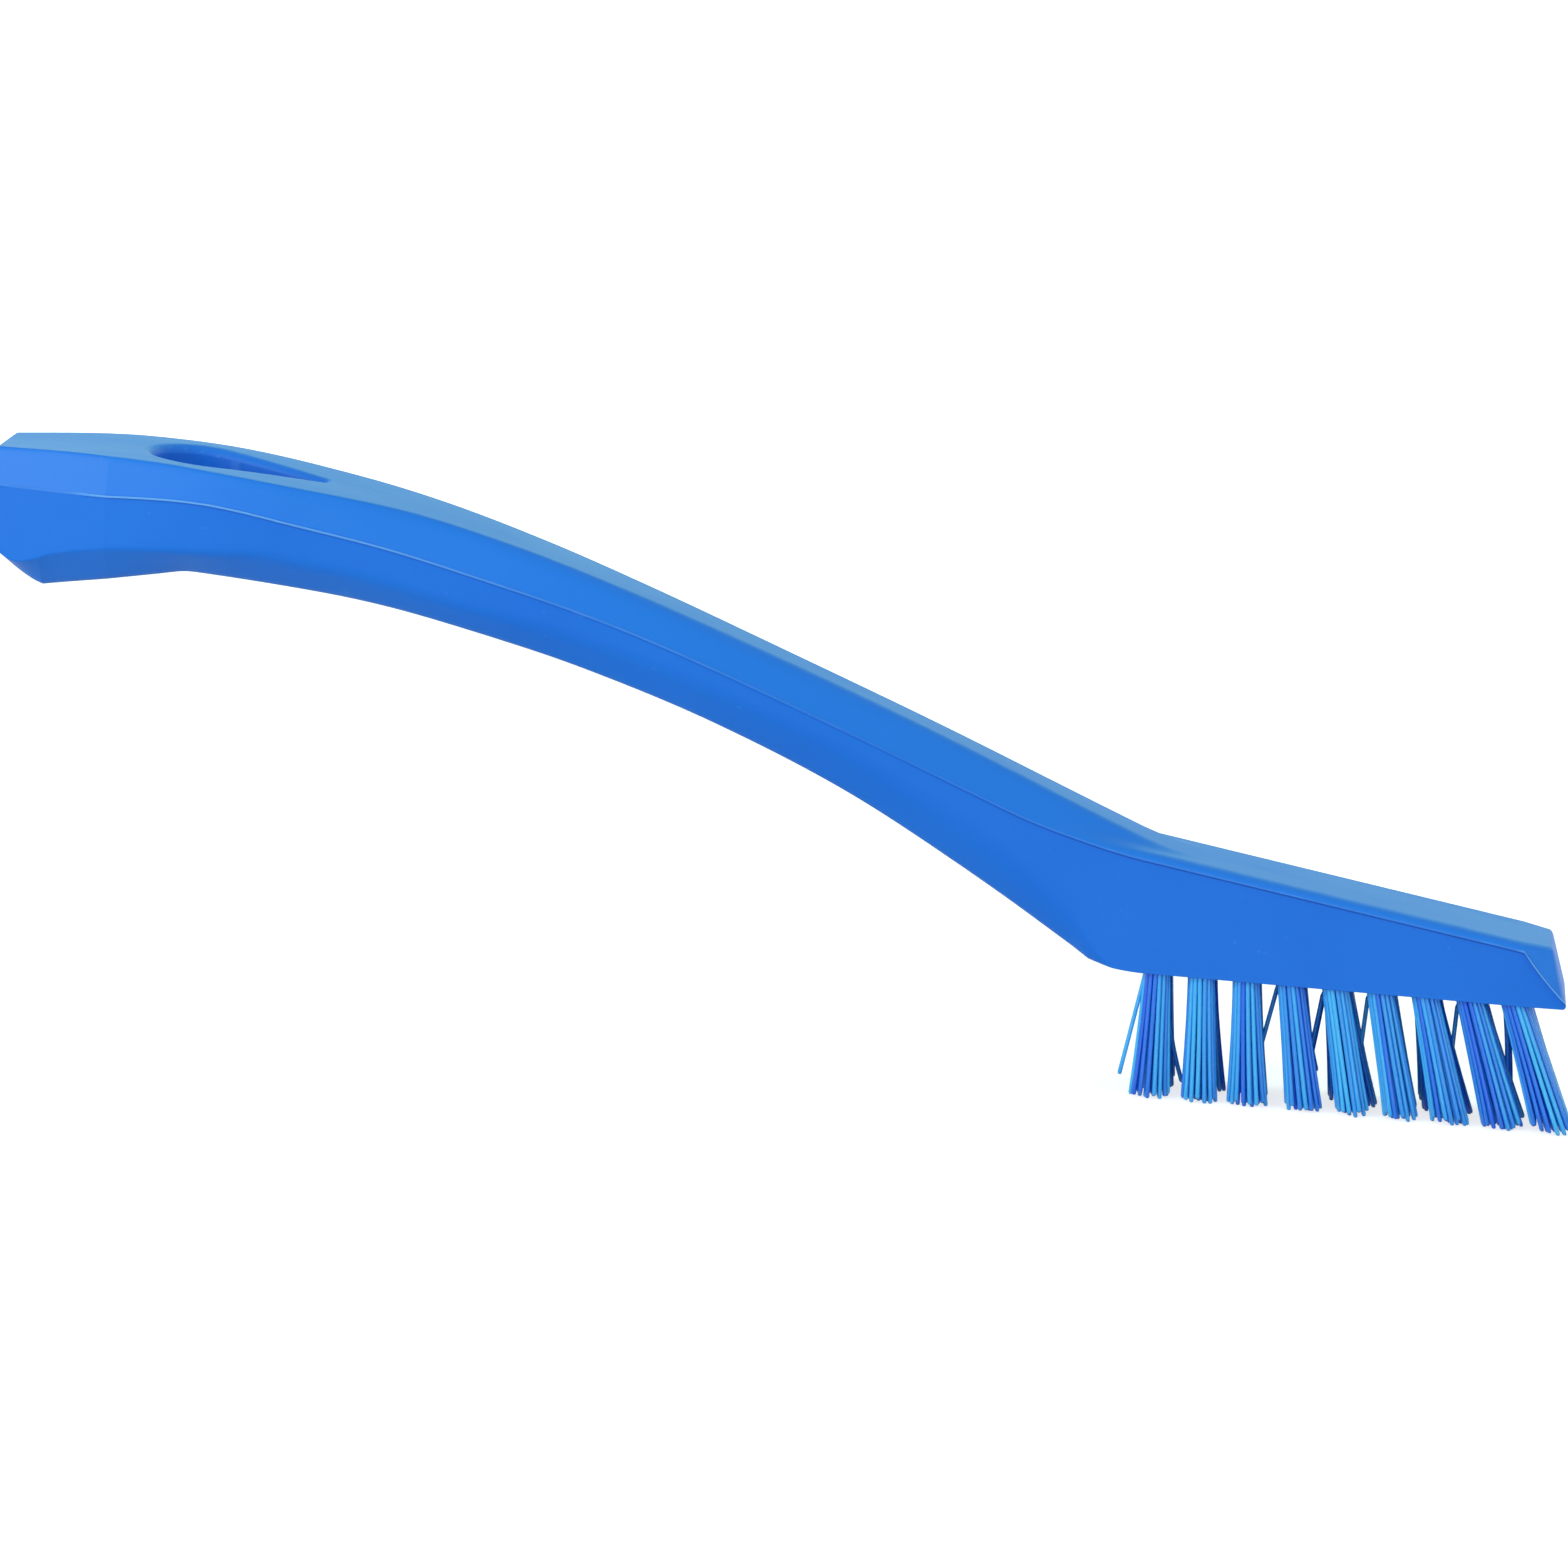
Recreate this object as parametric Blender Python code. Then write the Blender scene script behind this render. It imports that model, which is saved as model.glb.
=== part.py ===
"""A hand scrub brush: one moulded handle and head, set with fanned bristle tufts.

X runs from the butt of the handle to the front of the head, Y across the
brush and Z up.  The brush stands on its bristle tips, and the origin lies on
the ground under the middle of its length.  All lengths are in metres.

Inside this file a place on the brush is given by how far along it lies from
the butt, its side (Y) and its height above the bristle face.
"""

import math

import bmesh
import bpy
from mathutils import Matrix, Vector

# Overall sizes
BODY_LENGTH = 0.205
HEAD_LENGTH = 0.0606
HEAD_WIDTH = 0.0148
BRISTLE_LENGTH = 0.0162
BUTT_RISE = 0.0554
HANDLE_THICKNESS = 0.0120

# Head: flat back that slopes down to the toe, flat bristle face, drafted toe
HEEL_THICKNESS = 0.01675
TOE_THICKNESS = 0.0073
HEEL_STEP = 0.0010
HEEL_CHAMFER_LENGTH = 0.0074
HEEL_FACET_LENGTH = 0.0030
BACK_FLAT_WIDTH = 0.0112
BACK_ROUND_DEPTH = 0.0010
FACE_EDGE_CHAMFER = 0.0003
TOE_CORNER_LENGTH = 0.0060
TOE_CORNER_TAPER = 0.0004
TOE_CORNER_INSET = 0.0014
TOE_LEAN = 0.0024
END_ROUND = 0.0006

# Handle: a narrow ridge on top, a sloping facet down to the parting line,
# an upright side and a bottom facet down to a narrow flat underside
NECK_RISE = 0.0024
RIDGE_WIDTH = 0.0070
PARTING_DROP = 0.0044
BOTTOM_FACET_HEIGHT = 0.0045
NECK_BLEND = 0.0012
NECK_LENGTH = 0.0173
NECK_RUN_OUT = 0.0152

# Butt: flared, with a faceted end and an undercut chamfer below it
BUTT_WIDTH = 0.0232
BUTT_FACET_RUN = 0.0010
BUTT_END_WIDTH = 0.0138
BUTT_END_FACET_RUN = 0.0013
BUTT_FACET_LENGTH = 0.0168
BUTT_LEAN = 0.0015
BUTT_DEPTH = 0.0180
BUTT_CHAMFER_LENGTH = 0.0081
BUTT_CHAMFER_RISE = 0.0059
BUTT_CHAMFER_CURVE = 1.4
BUTT_KINK_LENGTH = 0.0268

# Hanging slot through the butt: a teardrop, wide toward the butt
SLOT_START = 0.0207
SLOT_LENGTH = 0.0223
SLOT_WIDE_RADIUS = 0.0064
SLOT_NARROW_RADIUS = 0.0011
SLOT_WIDE_RIM = 0.0012
SLOT_NARROW_RIM = 0.0010

# Tufts: aligned rows of drilled holes that fan toward the toe
COLUMNS = 9
ROWS = 3
COLUMN_PITCH = 0.00565
ROW_PITCH = 0.0045
TOE_MARGIN = 0.0066
FAN_FIRST = math.radians(1.0)
FAN_LAST = math.radians(19.0)
ROW_SPLAY = math.radians(2.5)
HOLE_DIAMETER = 0.0035
HOLE_DEPTH = 0.0060
DRILL_POINT = 0.0005
CLEARANCE = 0.0003

# One tuft: filaments folded over a flat anchor and driven into the hole
PLUG_RECESS = 0.0005
STRAND_ROOT = 0.0012
STRAND_DIAMETER = 0.0005
INNER_RING_RADIUS = 0.00054
OUTER_RING_RADIUS = 0.00118
INNER_STRANDS = 5
OUTER_STRANDS = 11
TIP_SPREAD = 1.9

# The anchor: a short piece of flat wire that bites into the hole's walls
ANCHOR_WIDTH = 0.0040
ANCHOR_HEIGHT = 0.0019
ANCHOR_THICKNESS = 0.00035
ANCHOR_DEPTH = 0.0040

# How far every cutter runs past what it cuts, and its share of a rim
OVERRUN = 0.003
OVERRUN_SHARE = 0.15

# Mesh fineness
HANDLE_STATIONS = 24
NECK_STATIONS = 14
BUTT_STATIONS = 4
TOE_STATIONS = 4
RIM_STEPS = 4
LEAN_PASSES = 3
SLOT_WIDE_STEPS = 18
SLOT_NARROW_STEPS = 6
HOLE_SIDES = 16
PLUG_SIDES = 12
STRAND_SIDES = 4
SHARP_ANGLE = math.radians(9.0)

# Sizes that follow from those above
HANDLE_LENGTH = BODY_LENGTH - HEAD_LENGTH
NECK_TOP = HEEL_THICKNESS + NECK_RISE
NECK_DEPTH = NECK_TOP - HEEL_STEP
PLUG_DIAMETER = HOLE_DIAMETER - 2 * CLEARANCE
NECK_START = HANDLE_LENGTH - NECK_LENGTH
NECK_END = HANDLE_LENGTH + NECK_RUN_OUT
BACK_ROUND_WIDTH = (HEAD_WIDTH - BACK_FLAT_WIDTH) / 2
BUTT_TOP_WIDTH = BUTT_WIDTH - 2 * BUTT_FACET_RUN
BUTT_END_TOP_WIDTH = BUTT_END_WIDTH - 2 * BUTT_END_FACET_RUN
TIP_REACH = (
    BODY_LENGTH
    - TOE_MARGIN
    + BRISTLE_LENGTH * math.tan(FAN_LAST)
    + OUTER_RING_RADIUS * TIP_SPREAD
    + STRAND_DIAMETER / 2
)
MIDDLE = max(BODY_LENGTH, TIP_REACH) / 2

# Side view of the handle.  Places are shares of the handle's length; heights
# are shares of the rise from the neck (0) to the butt (1).
TOP_LINE_SHARES = (
    (0.00, 0.985),
    (0.10, 1.000),
    (0.185, 0.988),
    (0.285, 0.942),
    (0.385, 0.877),
    (0.485, 0.772),
    (0.585, 0.641),
    (0.71, 0.459),
    (0.85, 0.245),
    (1.00, 0.000),
    (1.09, -0.145),
)
# From the kink under the butt (0) to the heel (1): shares of the handle's
# thickness, and how much of the neck's swelling is added to it.
THICKNESS_SHARES = (
    (0.00, 1.155),
    (0.15, 1.095),
    (0.29, 1.075),
    (0.44, 1.009),
    (0.58, 0.977),
    (0.72, 0.977),
    (1.00, 0.977),
)
SWELLING_SHARES = (
    (0.00, 0.0),
    (0.44, 0.0),
    (0.58, 0.01),
    (0.72, 0.137),
    (0.85, 0.50),
    (1.00, 1.0),
)
# Seen from above, from the butt's facet corner (0) to the heel (1): from the
# width of the head or the ridge (0) to the full width of the butt (1).
PARTING_WIDTH_SHARES = (
    (0.00, 0.83),
    (0.10, 1.00),
    (0.157, 0.95),
    (0.225, 0.70),
    (0.304, 0.43),
    (0.383, 0.26),
    (0.51, 0.10),
    (0.66, 0.02),
    (0.80, 0.0),
    (1.00, 0.0),
)
RIDGE_WIDTH_SHARES = (
    (0.00, 0.84),
    (0.10, 1.00),
    (0.157, 0.96),
    (0.225, 0.78),
    (0.304, 0.53),
    (0.383, 0.38),
    (0.46, 0.26),
    (0.55, 0.15),
    (0.66, 0.05),
    (0.78, 0.0),
    (1.00, 0.0),
)
# Along the handle's length: the drop from the ridge to the parting line, the
# height of the bottom facet, and the underside's share of the full width.
PARTING_DROP_SHARES = (
    (0.00, 1.05),
    (0.10, 1.13),
    (0.21, 0.92),
    (0.31, 1.06),
    (0.43, 1.17),
    (0.60, 0.99),
    (0.92, 0.98),
    (1.00, 0.76),
    (1.09, 0.62),
)
BOTTOM_FACET_SHARES = (
    (0.00, 0.20),
    (0.022, 0.22),
    (0.035, 0.40),
    (0.057, 0.92),
    (0.082, 1.01),
    (0.115, 1.01),
    (0.15, 0.88),
    (0.186, 0.71),
    (0.222, 0.81),
    (0.255, 0.91),
    (0.31, 0.83),
    (0.45, 0.75),
    (0.57, 0.96),
    (0.66, 1.01),
    (0.83, 1.17),
    (0.93, 1.05),
    (0.985, 0.74),
)
UNDERSIDE_WIDTH_SHARES = (
    (0.00, 0.58),
    (0.057, 0.52),
    (0.12, 0.60),
    (0.30, 0.64),
    (0.45, 0.66),
    (0.60, 0.62),
    (0.75, 0.58),
    (0.92, 0.58),
    (0.985, 0.70),
)
# How soft the ridge's edges are, as a share of the upper facet's run: crisp on
# the butt and round on the handle.
RIDGE_SOFT_SHARES = (
    (0.00, 0.15),
    (0.11, 0.18),
    (0.17, 0.32),
    (0.30, 0.34),
    (0.60, 0.32),
    (0.80, 0.26),
    (1.00, 0.20),
    (1.09, 0.20),
)
SIDE_WIDTH_SHARE = 0.955
FACE_WIDTH_SHARE = 0.95
FACE_SIDE_SHARE = 0.972
# Where the points lie across the ridge's soft edge, from inner (-1) to outer (1),
# and between its outer end (0) and the parting line (1)
RIDGE_EDGE_SHARES = (-1.0, -0.35, 0.35, 1.0)
SHOULDER_SHARES = (0.25, 0.515, 0.66, 0.78, 0.88, 0.95, 0.985)

MATERIALS = {
    "moulded_plastic": ((0.020, 0.155, 0.690, 1.0), 0.38, 0.0),
    "bristle_filament": ((0.018, 0.145, 0.760, 1.0), 0.32, 0.0),
    "anchor_steel": ((0.62, 0.62, 0.60, 1.0), 0.30, 1.0),
}


def clamp(value):
    return max(0.0, min(1.0, value))


def smooth(shares, at):
    """Reads a table of shares as one smooth curve, straight beyond its ends."""
    places = [place for place, _ in shares]
    values = [value for _, value in shares]
    last = len(shares) - 1

    def slope(i):
        low, high = max(i - 1, 0), min(i + 1, last)
        return (values[high] - values[low]) / (places[high] - places[low])

    if at <= places[0]:
        return values[0] + slope(0) * (at - places[0])
    if at >= places[last]:
        return values[last] + slope(last) * (at - places[last])
    i = max(k for k in range(last) if places[k] <= at)
    span = places[i + 1] - places[i]
    t = (at - places[i]) / span
    hermite = (
        (1 + 2 * t) * (1 - t) ** 2 * values[i]
        + t * (1 - t) ** 2 * span * slope(i)
        + t * t * (3 - 2 * t) * values[i + 1]
        + t * t * (t - 1) * span * slope(i + 1)
    )
    return hermite


def between(low, high, share):
    return low + (high - low) * share


# Side view


def ridge_height(along):
    share = smooth(TOP_LINE_SHARES, along / HANDLE_LENGTH)
    return between(NECK_TOP, BUTT_RISE, share)


def back_height(along):
    """The flat back of the head, extended under the handle."""
    share = (along - HANDLE_LENGTH) / HEAD_LENGTH
    return between(HEEL_THICKNESS, TOE_THICKNESS, share)


def handle_thickness(along):
    share = (along - BUTT_KINK_LENGTH) / (HANDLE_LENGTH - BUTT_KINK_LENGTH)
    taper = HANDLE_THICKNESS * smooth(THICKNESS_SHARES, share)
    end_taper = HANDLE_THICKNESS * THICKNESS_SHARES[-1][1]
    return taper + (NECK_DEPTH - end_taper) * smooth(SWELLING_SHARES, share)


def underside_height(along):
    corner = BUTT_RISE - BUTT_DEPTH
    if along < BUTT_CHAMFER_LENGTH:
        share = (1 - along / BUTT_CHAMFER_LENGTH) ** BUTT_CHAMFER_CURVE
        return between(corner, corner + BUTT_CHAMFER_RISE, share)
    if along < BUTT_KINK_LENGTH:
        kink = ridge_height(BUTT_KINK_LENGTH) - handle_thickness(BUTT_KINK_LENGTH)
        share = (along - BUTT_CHAMFER_LENGTH) / (BUTT_KINK_LENGTH - BUTT_CHAMFER_LENGTH)
        return between(corner, kink, share)
    if along < HANDLE_LENGTH:
        return ridge_height(along) - handle_thickness(along)
    return HEEL_STEP * clamp(1 - (along - HANDLE_LENGTH) / HEEL_CHAMFER_LENGTH) ** 2


def bottom_facet_height(along):
    last = BOTTOM_FACET_SHARES[-1][0]
    facet = BOTTOM_FACET_HEIGHT * smooth(BOTTOM_FACET_SHARES, min(along / HANDLE_LENGTH, last))
    return between(facet, FACE_EDGE_CHAMFER, heel_share(along))


def heel_share(along):
    """From 0 on the handle to 1 where the bottom facet has run out."""
    last_handle = BOTTOM_FACET_SHARES[-1][0] * HANDLE_LENGTH
    return clamp((along - last_handle) / (HANDLE_LENGTH + HEEL_FACET_LENGTH - last_handle))


# Seen from above


def flared(along, end_width, narrow_width, wide_width, shares):
    """Half of a width that flares from the butt's end, then tapers to the head."""
    share = (along - BUTT_FACET_LENGTH) / (HANDLE_LENGTH - BUTT_FACET_LENGTH)
    body = between(narrow_width, wide_width, smooth(shares, clamp(share)))
    if along < BUTT_FACET_LENGTH:
        body = between(end_width, body, along / BUTT_FACET_LENGTH)
    return body / 2


def toe_share(along):
    return clamp((along - BODY_LENGTH + TOE_CORNER_LENGTH) / TOE_CORNER_LENGTH)


def parting_half_width(along):
    body = flared(along, BUTT_END_WIDTH, HEAD_WIDTH, BUTT_WIDTH, PARTING_WIDTH_SHARES)
    return body - TOE_CORNER_TAPER * toe_share(along)


def shoulder_half_width(along):
    """Where the back's rounded edge ends: drawn in at the toe's corners."""
    return parting_half_width(along) - TOE_CORNER_INSET * toe_share(along)


def ridge_half_width(along):
    return flared(along, BUTT_END_TOP_WIDTH, RIDGE_WIDTH, BUTT_TOP_WIDTH, RIDGE_WIDTH_SHARES)


def underside_half_width(along):
    last = UNDERSIDE_WIDTH_SHARES[-1][0]
    share = smooth(UNDERSIDE_WIDTH_SHARES, min(along / HANDLE_LENGTH, last))
    return parting_half_width(along) * between(share, FACE_WIDTH_SHARE, heel_share(along))


def side_half_width(along):
    share = between(SIDE_WIDTH_SHARE, FACE_SIDE_SHARE, heel_share(along))
    return parting_half_width(along) * share


# The upper surface


def facet_run(along):
    """How wide the upper facet is, seen from above."""
    return parting_half_width(along) - ridge_half_width(along)


def ridge_softness(along):
    """How far the ridge's soft edge reaches on each side of it."""
    return facet_run(along) * smooth(RIDGE_SOFT_SHARES, along / HANDLE_LENGTH)


def handle_surface(along, side):
    """The ridge and its sloping facets, with a softened edge between them."""
    out = abs(side) - ridge_half_width(along)
    soft = ridge_softness(along)
    if out > soft:
        run = out
    elif out > -soft:
        run = (out + soft) ** 2 / (4 * soft)
    else:
        run = 0.0
    drop = PARTING_DROP * smooth(PARTING_DROP_SHARES, along / HANDLE_LENGTH)
    return ridge_height(along) - drop * run / facet_run(along)


def back_surface(along, side):
    """The head's flat back, rounded down to the parting line on each side."""
    flat = shoulder_half_width(max(along, HANDLE_LENGTH)) - BACK_ROUND_WIDTH
    out = clamp((abs(side) - flat) / BACK_ROUND_WIDTH)
    return back_height(along) - BACK_ROUND_DEPTH * (1 - math.sqrt(1 - out * out))


def upper_surface(along, side):
    """The higher of the handle and the head's back, blended where they cross."""
    handle = handle_surface(along, side)
    back = back_surface(along, side)
    overlap = max(NECK_BLEND - abs(handle - back), 0.0)
    return max(handle, back) + overlap * overlap / (4 * NECK_BLEND)


def parting_height(along):
    """The mould's parting line: along the side, then down the toe's corner."""
    start = upper_surface(along, shoulder_half_width(along))
    end = side_bottom(BODY_LENGTH)
    return between(start, end + END_ROUND, toe_share(along))


def side_bottom(along):
    return underside_height(along) + bottom_facet_height(along)


# The body as a loft


def leaned(along, height):
    """Moves a point of an end section so that both ends slope as moulded."""
    toe = toe_share(along)
    if toe > 0:
        top = back_height(along - TOE_LEAN * toe)
        return along - TOE_LEAN * toe * height / top
    butt = clamp(1 - along / BUTT_FACET_LENGTH)
    parting = parting_height(along)
    rise = ridge_height(along) - parting
    return along + BUTT_LEAN * butt * clamp((height - parting) / rise)


def body_section(along):
    """One side of a cross-section, from the top down, as places and heights."""
    ridge = ridge_half_width(along)
    shoulder = shoulder_half_width(along)
    sides = [ridge + ridge_softness(along) * share for share in RIDGE_EDGE_SHARES]
    sides += [between(sides[-1], shoulder, share) for share in SHOULDER_SHARES]
    points = []
    for side in sides:
        height = upper_surface(along, side)
        for _ in range(LEAN_PASSES):
            height = upper_surface(leaned(along, height), side)
        points.append((side, height))
    points.append((parting_half_width(along), parting_height(along)))
    points.append((side_half_width(along), side_bottom(along)))
    points.append((underside_half_width(along), underside_height(along)))
    return [(leaned(along, height), side, height) for side, height in points]


def spread(start, end, count):
    """Evenly spaced places, leaving out the last."""
    return [between(start, end, i / count) for i in range(count)]


def body_stations():
    toe_start = BODY_LENGTH - TOE_CORNER_LENGTH
    stations = spread(0.0, BUTT_CHAMFER_LENGTH, BUTT_STATIONS)
    stations += spread(BUTT_CHAMFER_LENGTH, BUTT_FACET_LENGTH, 2)
    stations += spread(BUTT_FACET_LENGTH, BUTT_KINK_LENGTH, 4)
    stations += spread(BUTT_KINK_LENGTH, NECK_START, HANDLE_STATIONS)
    stations += spread(NECK_START, HANDLE_LENGTH, NECK_STATIONS)
    stations += spread(HANDLE_LENGTH, HANDLE_LENGTH + HEEL_FACET_LENGTH, 3)
    stations += spread(HANDLE_LENGTH + HEEL_FACET_LENGTH, HANDLE_LENGTH + HEEL_CHAMFER_LENGTH, 3)
    stations += spread(HANDLE_LENGTH + HEEL_CHAMFER_LENGTH, NECK_END, NECK_STATIONS // 2)
    stations += spread(NECK_END, toe_start, 2)
    stations += spread(toe_start, BODY_LENGTH, TOE_STATIONS)
    return stations + [BODY_LENGTH]


def world(along, side, height):
    return Vector((along - MIDDLE, side, height + BRISTLE_LENGTH))


def join_rings(bm, rings):
    """Adds the quads between each ring of vertices and the next."""
    for ring, following in zip(rings, rings[1:]):
        for i in range(len(ring)):
            k = (i + 1) % len(ring)
            bm.faces.new((ring[i], ring[k], following[k], following[i]))


def finish_mesh(bm, name):
    bmesh.ops.recalc_face_normals(bm, faces=bm.faces)
    mesh = bpy.data.meshes.new(name)
    bm.to_mesh(mesh)
    bm.free()
    return mesh


def body_mesh():
    bm = bmesh.new()
    rings = []
    for along in body_stations():
        right = body_section(along)
        left = [(place, -side, height) for place, side, height in reversed(right)]
        rings.append([bm.verts.new(world(*point)) for point in right + left])
    join_rings(bm, rings)
    # Each end is two flat faces that meet at the height of the parting line.
    half = len(rings[0]) // 2
    parting = half - 3
    for ring in (rings[0], rings[-1]):
        across = len(ring) - 1 - parting
        bm.faces.new(ring[: parting + 1] + ring[across:])
        bm.faces.new(ring[parting : across + 1])
    bmesh.ops.recalc_face_normals(bm, faces=bm.faces)
    ends = [
        bm.edges.get((ring[i], ring[(i + 1) % len(ring)]))
        for ring in (rings[0], rings[-1])
        for i in range(len(ring))
    ]
    bmesh.ops.bevel(
        bm, geom=ends, offset=END_ROUND, segments=2, profile=0.5, affect="EDGES", clamp_overlap=True
    )
    return finish_mesh(bm, "handle_block")


# Cutters


def slot_outline(out):
    """The teardrop as places, sides and rim sizes: two arcs and their tangents.

    Out is a share of the rim's rounding, which shrinks toward the narrow end.
    """
    wide = SLOT_WIDE_RADIUS + SLOT_WIDE_RIM * out
    narrow = SLOT_NARROW_RADIUS + SLOT_NARROW_RIM * out
    wide_centre = SLOT_START + SLOT_WIDE_RADIUS
    narrow_centre = SLOT_START + SLOT_LENGTH - SLOT_NARROW_RADIUS
    tangent = math.acos((wide - narrow) / (narrow_centre - wide_centre))
    outline = []
    for i in range(SLOT_NARROW_STEPS + 1):
        angle = between(-tangent, tangent, i / SLOT_NARROW_STEPS)
        place = (narrow_centre + narrow * math.cos(angle), narrow * math.sin(angle))
        outline.append((*place, SLOT_NARROW_RIM))
    for i in range(SLOT_WIDE_STEPS + 1):
        angle = between(tangent, 2 * math.pi - tangent, i / SLOT_WIDE_STEPS)
        place = (wide_centre + wide * math.cos(angle), wide * math.sin(angle))
        outline.append((*place, SLOT_WIDE_RIM))
    return outline


def slot_cutter_mesh():
    """The hanging slot, whose rims are rounded along the curved surfaces."""
    flare = []
    for i in range(1, RIM_STEPS + 1):
        angle = math.pi / 2 * i / RIM_STEPS
        flare.append((1 - math.sin(angle), 1 - math.cos(angle)))
    # Above the surface the cutter goes on outward at the slope of its first step.
    first_out, first_depth = flare[0]
    rim_slope = first_depth / (1 - first_out)
    flare = [(1 + OVERRUN_SHARE, -OVERRUN_SHARE * rim_slope)] + flare
    bm = bmesh.new()
    rings = []
    for out, depth in flare:
        rings.append([world(a, s, ridge_height(a) - depth * rim) for a, s, rim in slot_outline(out)])
    for out, depth in reversed(flare):
        rings.append([world(a, s, underside_height(a) + depth * rim) for a, s, rim in slot_outline(out)])
    lift = Vector((0, 0, OVERRUN))
    rings.insert(0, [point + lift for point in rings[0]])
    rings.append([point - lift for point in rings[-1]])
    rings = [[bm.verts.new(point) for point in ring] for ring in rings]
    join_rings(bm, rings)
    bm.faces.new(rings[0])
    bm.faces.new(rings[-1])
    return finish_mesh(bm, "hanging_slot_cutter")


def tuft_frame(row, column):
    """The tuft's own axes at the mouth of its hole, with Z up the hole."""
    along = BODY_LENGTH - TOE_MARGIN - (COLUMNS - 1 - column) * COLUMN_PITCH
    out = row - (ROWS - 1) / 2
    up_hole = Vector((-math.tan(fan_angle(column)), -out * math.tan(ROW_SPLAY), 1)).normalized()
    across = up_hole.cross(Vector((1, 0, 0))).normalized()
    forward = across.cross(up_hole)
    frame = Matrix((forward, across, up_hole)).transposed().to_4x4()
    frame.translation = world(along, out * ROW_PITCH, 0.0)
    return frame


def fan_angle(column):
    return between(FAN_FIRST, FAN_LAST, column / (COLUMNS - 1))


def tuft_places():
    return [(row, column) for column in range(COLUMNS) for row in range(ROWS)]


def box_into(bm, frame, size, height):
    """Adds a box centred on the tuft's axis at a height up the hole."""
    scale = Matrix.Diagonal((*size, 1))
    bmesh.ops.create_cube(bm, size=1, matrix=frame @ Matrix.Translation((0, 0, height)) @ scale)


def rod_into(bm, frame, radius, low, high, sides):
    """Adds a round rod along the tuft's axis and returns its new vertices."""
    middle = Matrix.Translation((0, 0, (low + high) / 2))
    made = bmesh.ops.create_cone(
        bm,
        cap_ends=True,
        segments=sides,
        radius1=radius,
        radius2=radius,
        depth=high - low,
        matrix=frame @ middle,
    )
    return made["verts"]


def holes_cutter_mesh():
    bm = bmesh.new()
    for row, column in tuft_places():
        frame = tuft_frame(row, column)
        rod = set(rod_into(bm, frame, HOLE_DIAMETER / 2, -OVERRUN, HOLE_DEPTH, HOLE_SIDES))
        caps = [face for face in bm.faces if len(face.verts) == HOLE_SIDES and set(face.verts) <= rod]
        upper = max(caps, key=lambda face: (frame.inverted() @ face.calc_center_median()).z)
        bmesh.ops.recalc_face_normals(bm, faces=bm.faces)
        bmesh.ops.poke(bm, faces=[upper], offset=DRILL_POINT)
    return finish_mesh(bm, "tuft_holes_cutter")


def anchor_pocket():
    sizes = (ANCHOR_WIDTH, ANCHOR_THICKNESS, ANCHOR_HEIGHT)
    return tuple(size + 2 * CLEARANCE for size in sizes)


def pockets_cutter_mesh():
    bm = bmesh.new()
    for row, column in tuft_places():
        box_into(bm, tuft_frame(row, column), anchor_pocket(), ANCHOR_DEPTH)
    return finish_mesh(bm, "anchor_pockets_cutter")


# Tufts and anchors


def plug_mesh(frame, name):
    bm = bmesh.new()
    rod_into(bm, frame, PLUG_DIAMETER / 2, PLUG_RECESS, HOLE_DEPTH - CLEARANCE, PLUG_SIDES)
    return finish_mesh(bm, name)


def window_mesh(frame, name):
    """The eye that the anchor passes through, under the filaments' fold."""
    _, thickness, height = anchor_pocket()
    bm = bmesh.new()
    box_into(bm, frame, (HOLE_DIAMETER, thickness, height), ANCHOR_DEPTH)
    return finish_mesh(bm, name)


def strands_mesh(row, column, frame, name):
    """Straight strands that spread evenly from root to tip, cut flat below."""
    mouth = frame.translation
    out = row - (ROWS - 1) / 2
    drift = Vector((math.tan(fan_angle(column)), out * math.tan(ROW_SPLAY), 0)) * BRISTLE_LENGTH
    root_share = (PLUG_RECESS + STRAND_ROOT) / BRISTLE_LENGTH
    bm = bmesh.new()
    for count, radius in ((INNER_STRANDS, INNER_RING_RADIUS), (OUTER_STRANDS, OUTER_RING_RADIUS)):
        for i in range(count):
            angle = 2 * math.pi * i / count
            offset = Vector((math.cos(angle), math.sin(angle), 0)) * radius
            start = mouth + offset
            tip = mouth + drift + offset * TIP_SPREAD
            tip.z = 0.0
            root = start + (start - tip) * root_share
            lean = Matrix.Identity(4)
            lean.col[2] = (root - tip).to_4d()
            lean.col[2][3] = 0
            lean.translation = (root + tip) / 2
            bmesh.ops.create_cone(
                bm,
                cap_ends=True,
                segments=STRAND_SIDES,
                radius1=STRAND_DIAMETER / 2,
                radius2=STRAND_DIAMETER / 2,
                depth=1,
                matrix=lean,
            )
    return finish_mesh(bm, name)


# Objects


def clear_scene():
    for obj in list(bpy.data.objects):
        bpy.data.objects.remove(obj, do_unlink=True)


def new_collection(name):
    made = bpy.data.collections.new(name)
    bpy.context.scene.collection.children.link(made)
    return made


def make_material(name):
    colour, roughness, metallic = MATERIALS[name]
    material = bpy.data.materials.new(name)
    material.use_nodes = True
    shader = material.node_tree.nodes["Principled BSDF"]
    shader.inputs["Base Color"].default_value = colour
    shader.inputs["Roughness"].default_value = roughness
    shader.inputs["Metallic"].default_value = metallic
    return material


def add_piece(mesh, name, material, collection, parent):
    piece = bpy.data.objects.new(name, mesh)
    mesh.materials.append(material)
    mesh.shade_smooth()
    mesh.set_sharp_from_angle(angle=SHARP_ANGLE)
    collection.objects.link(piece)
    piece.parent = parent
    return piece


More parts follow.
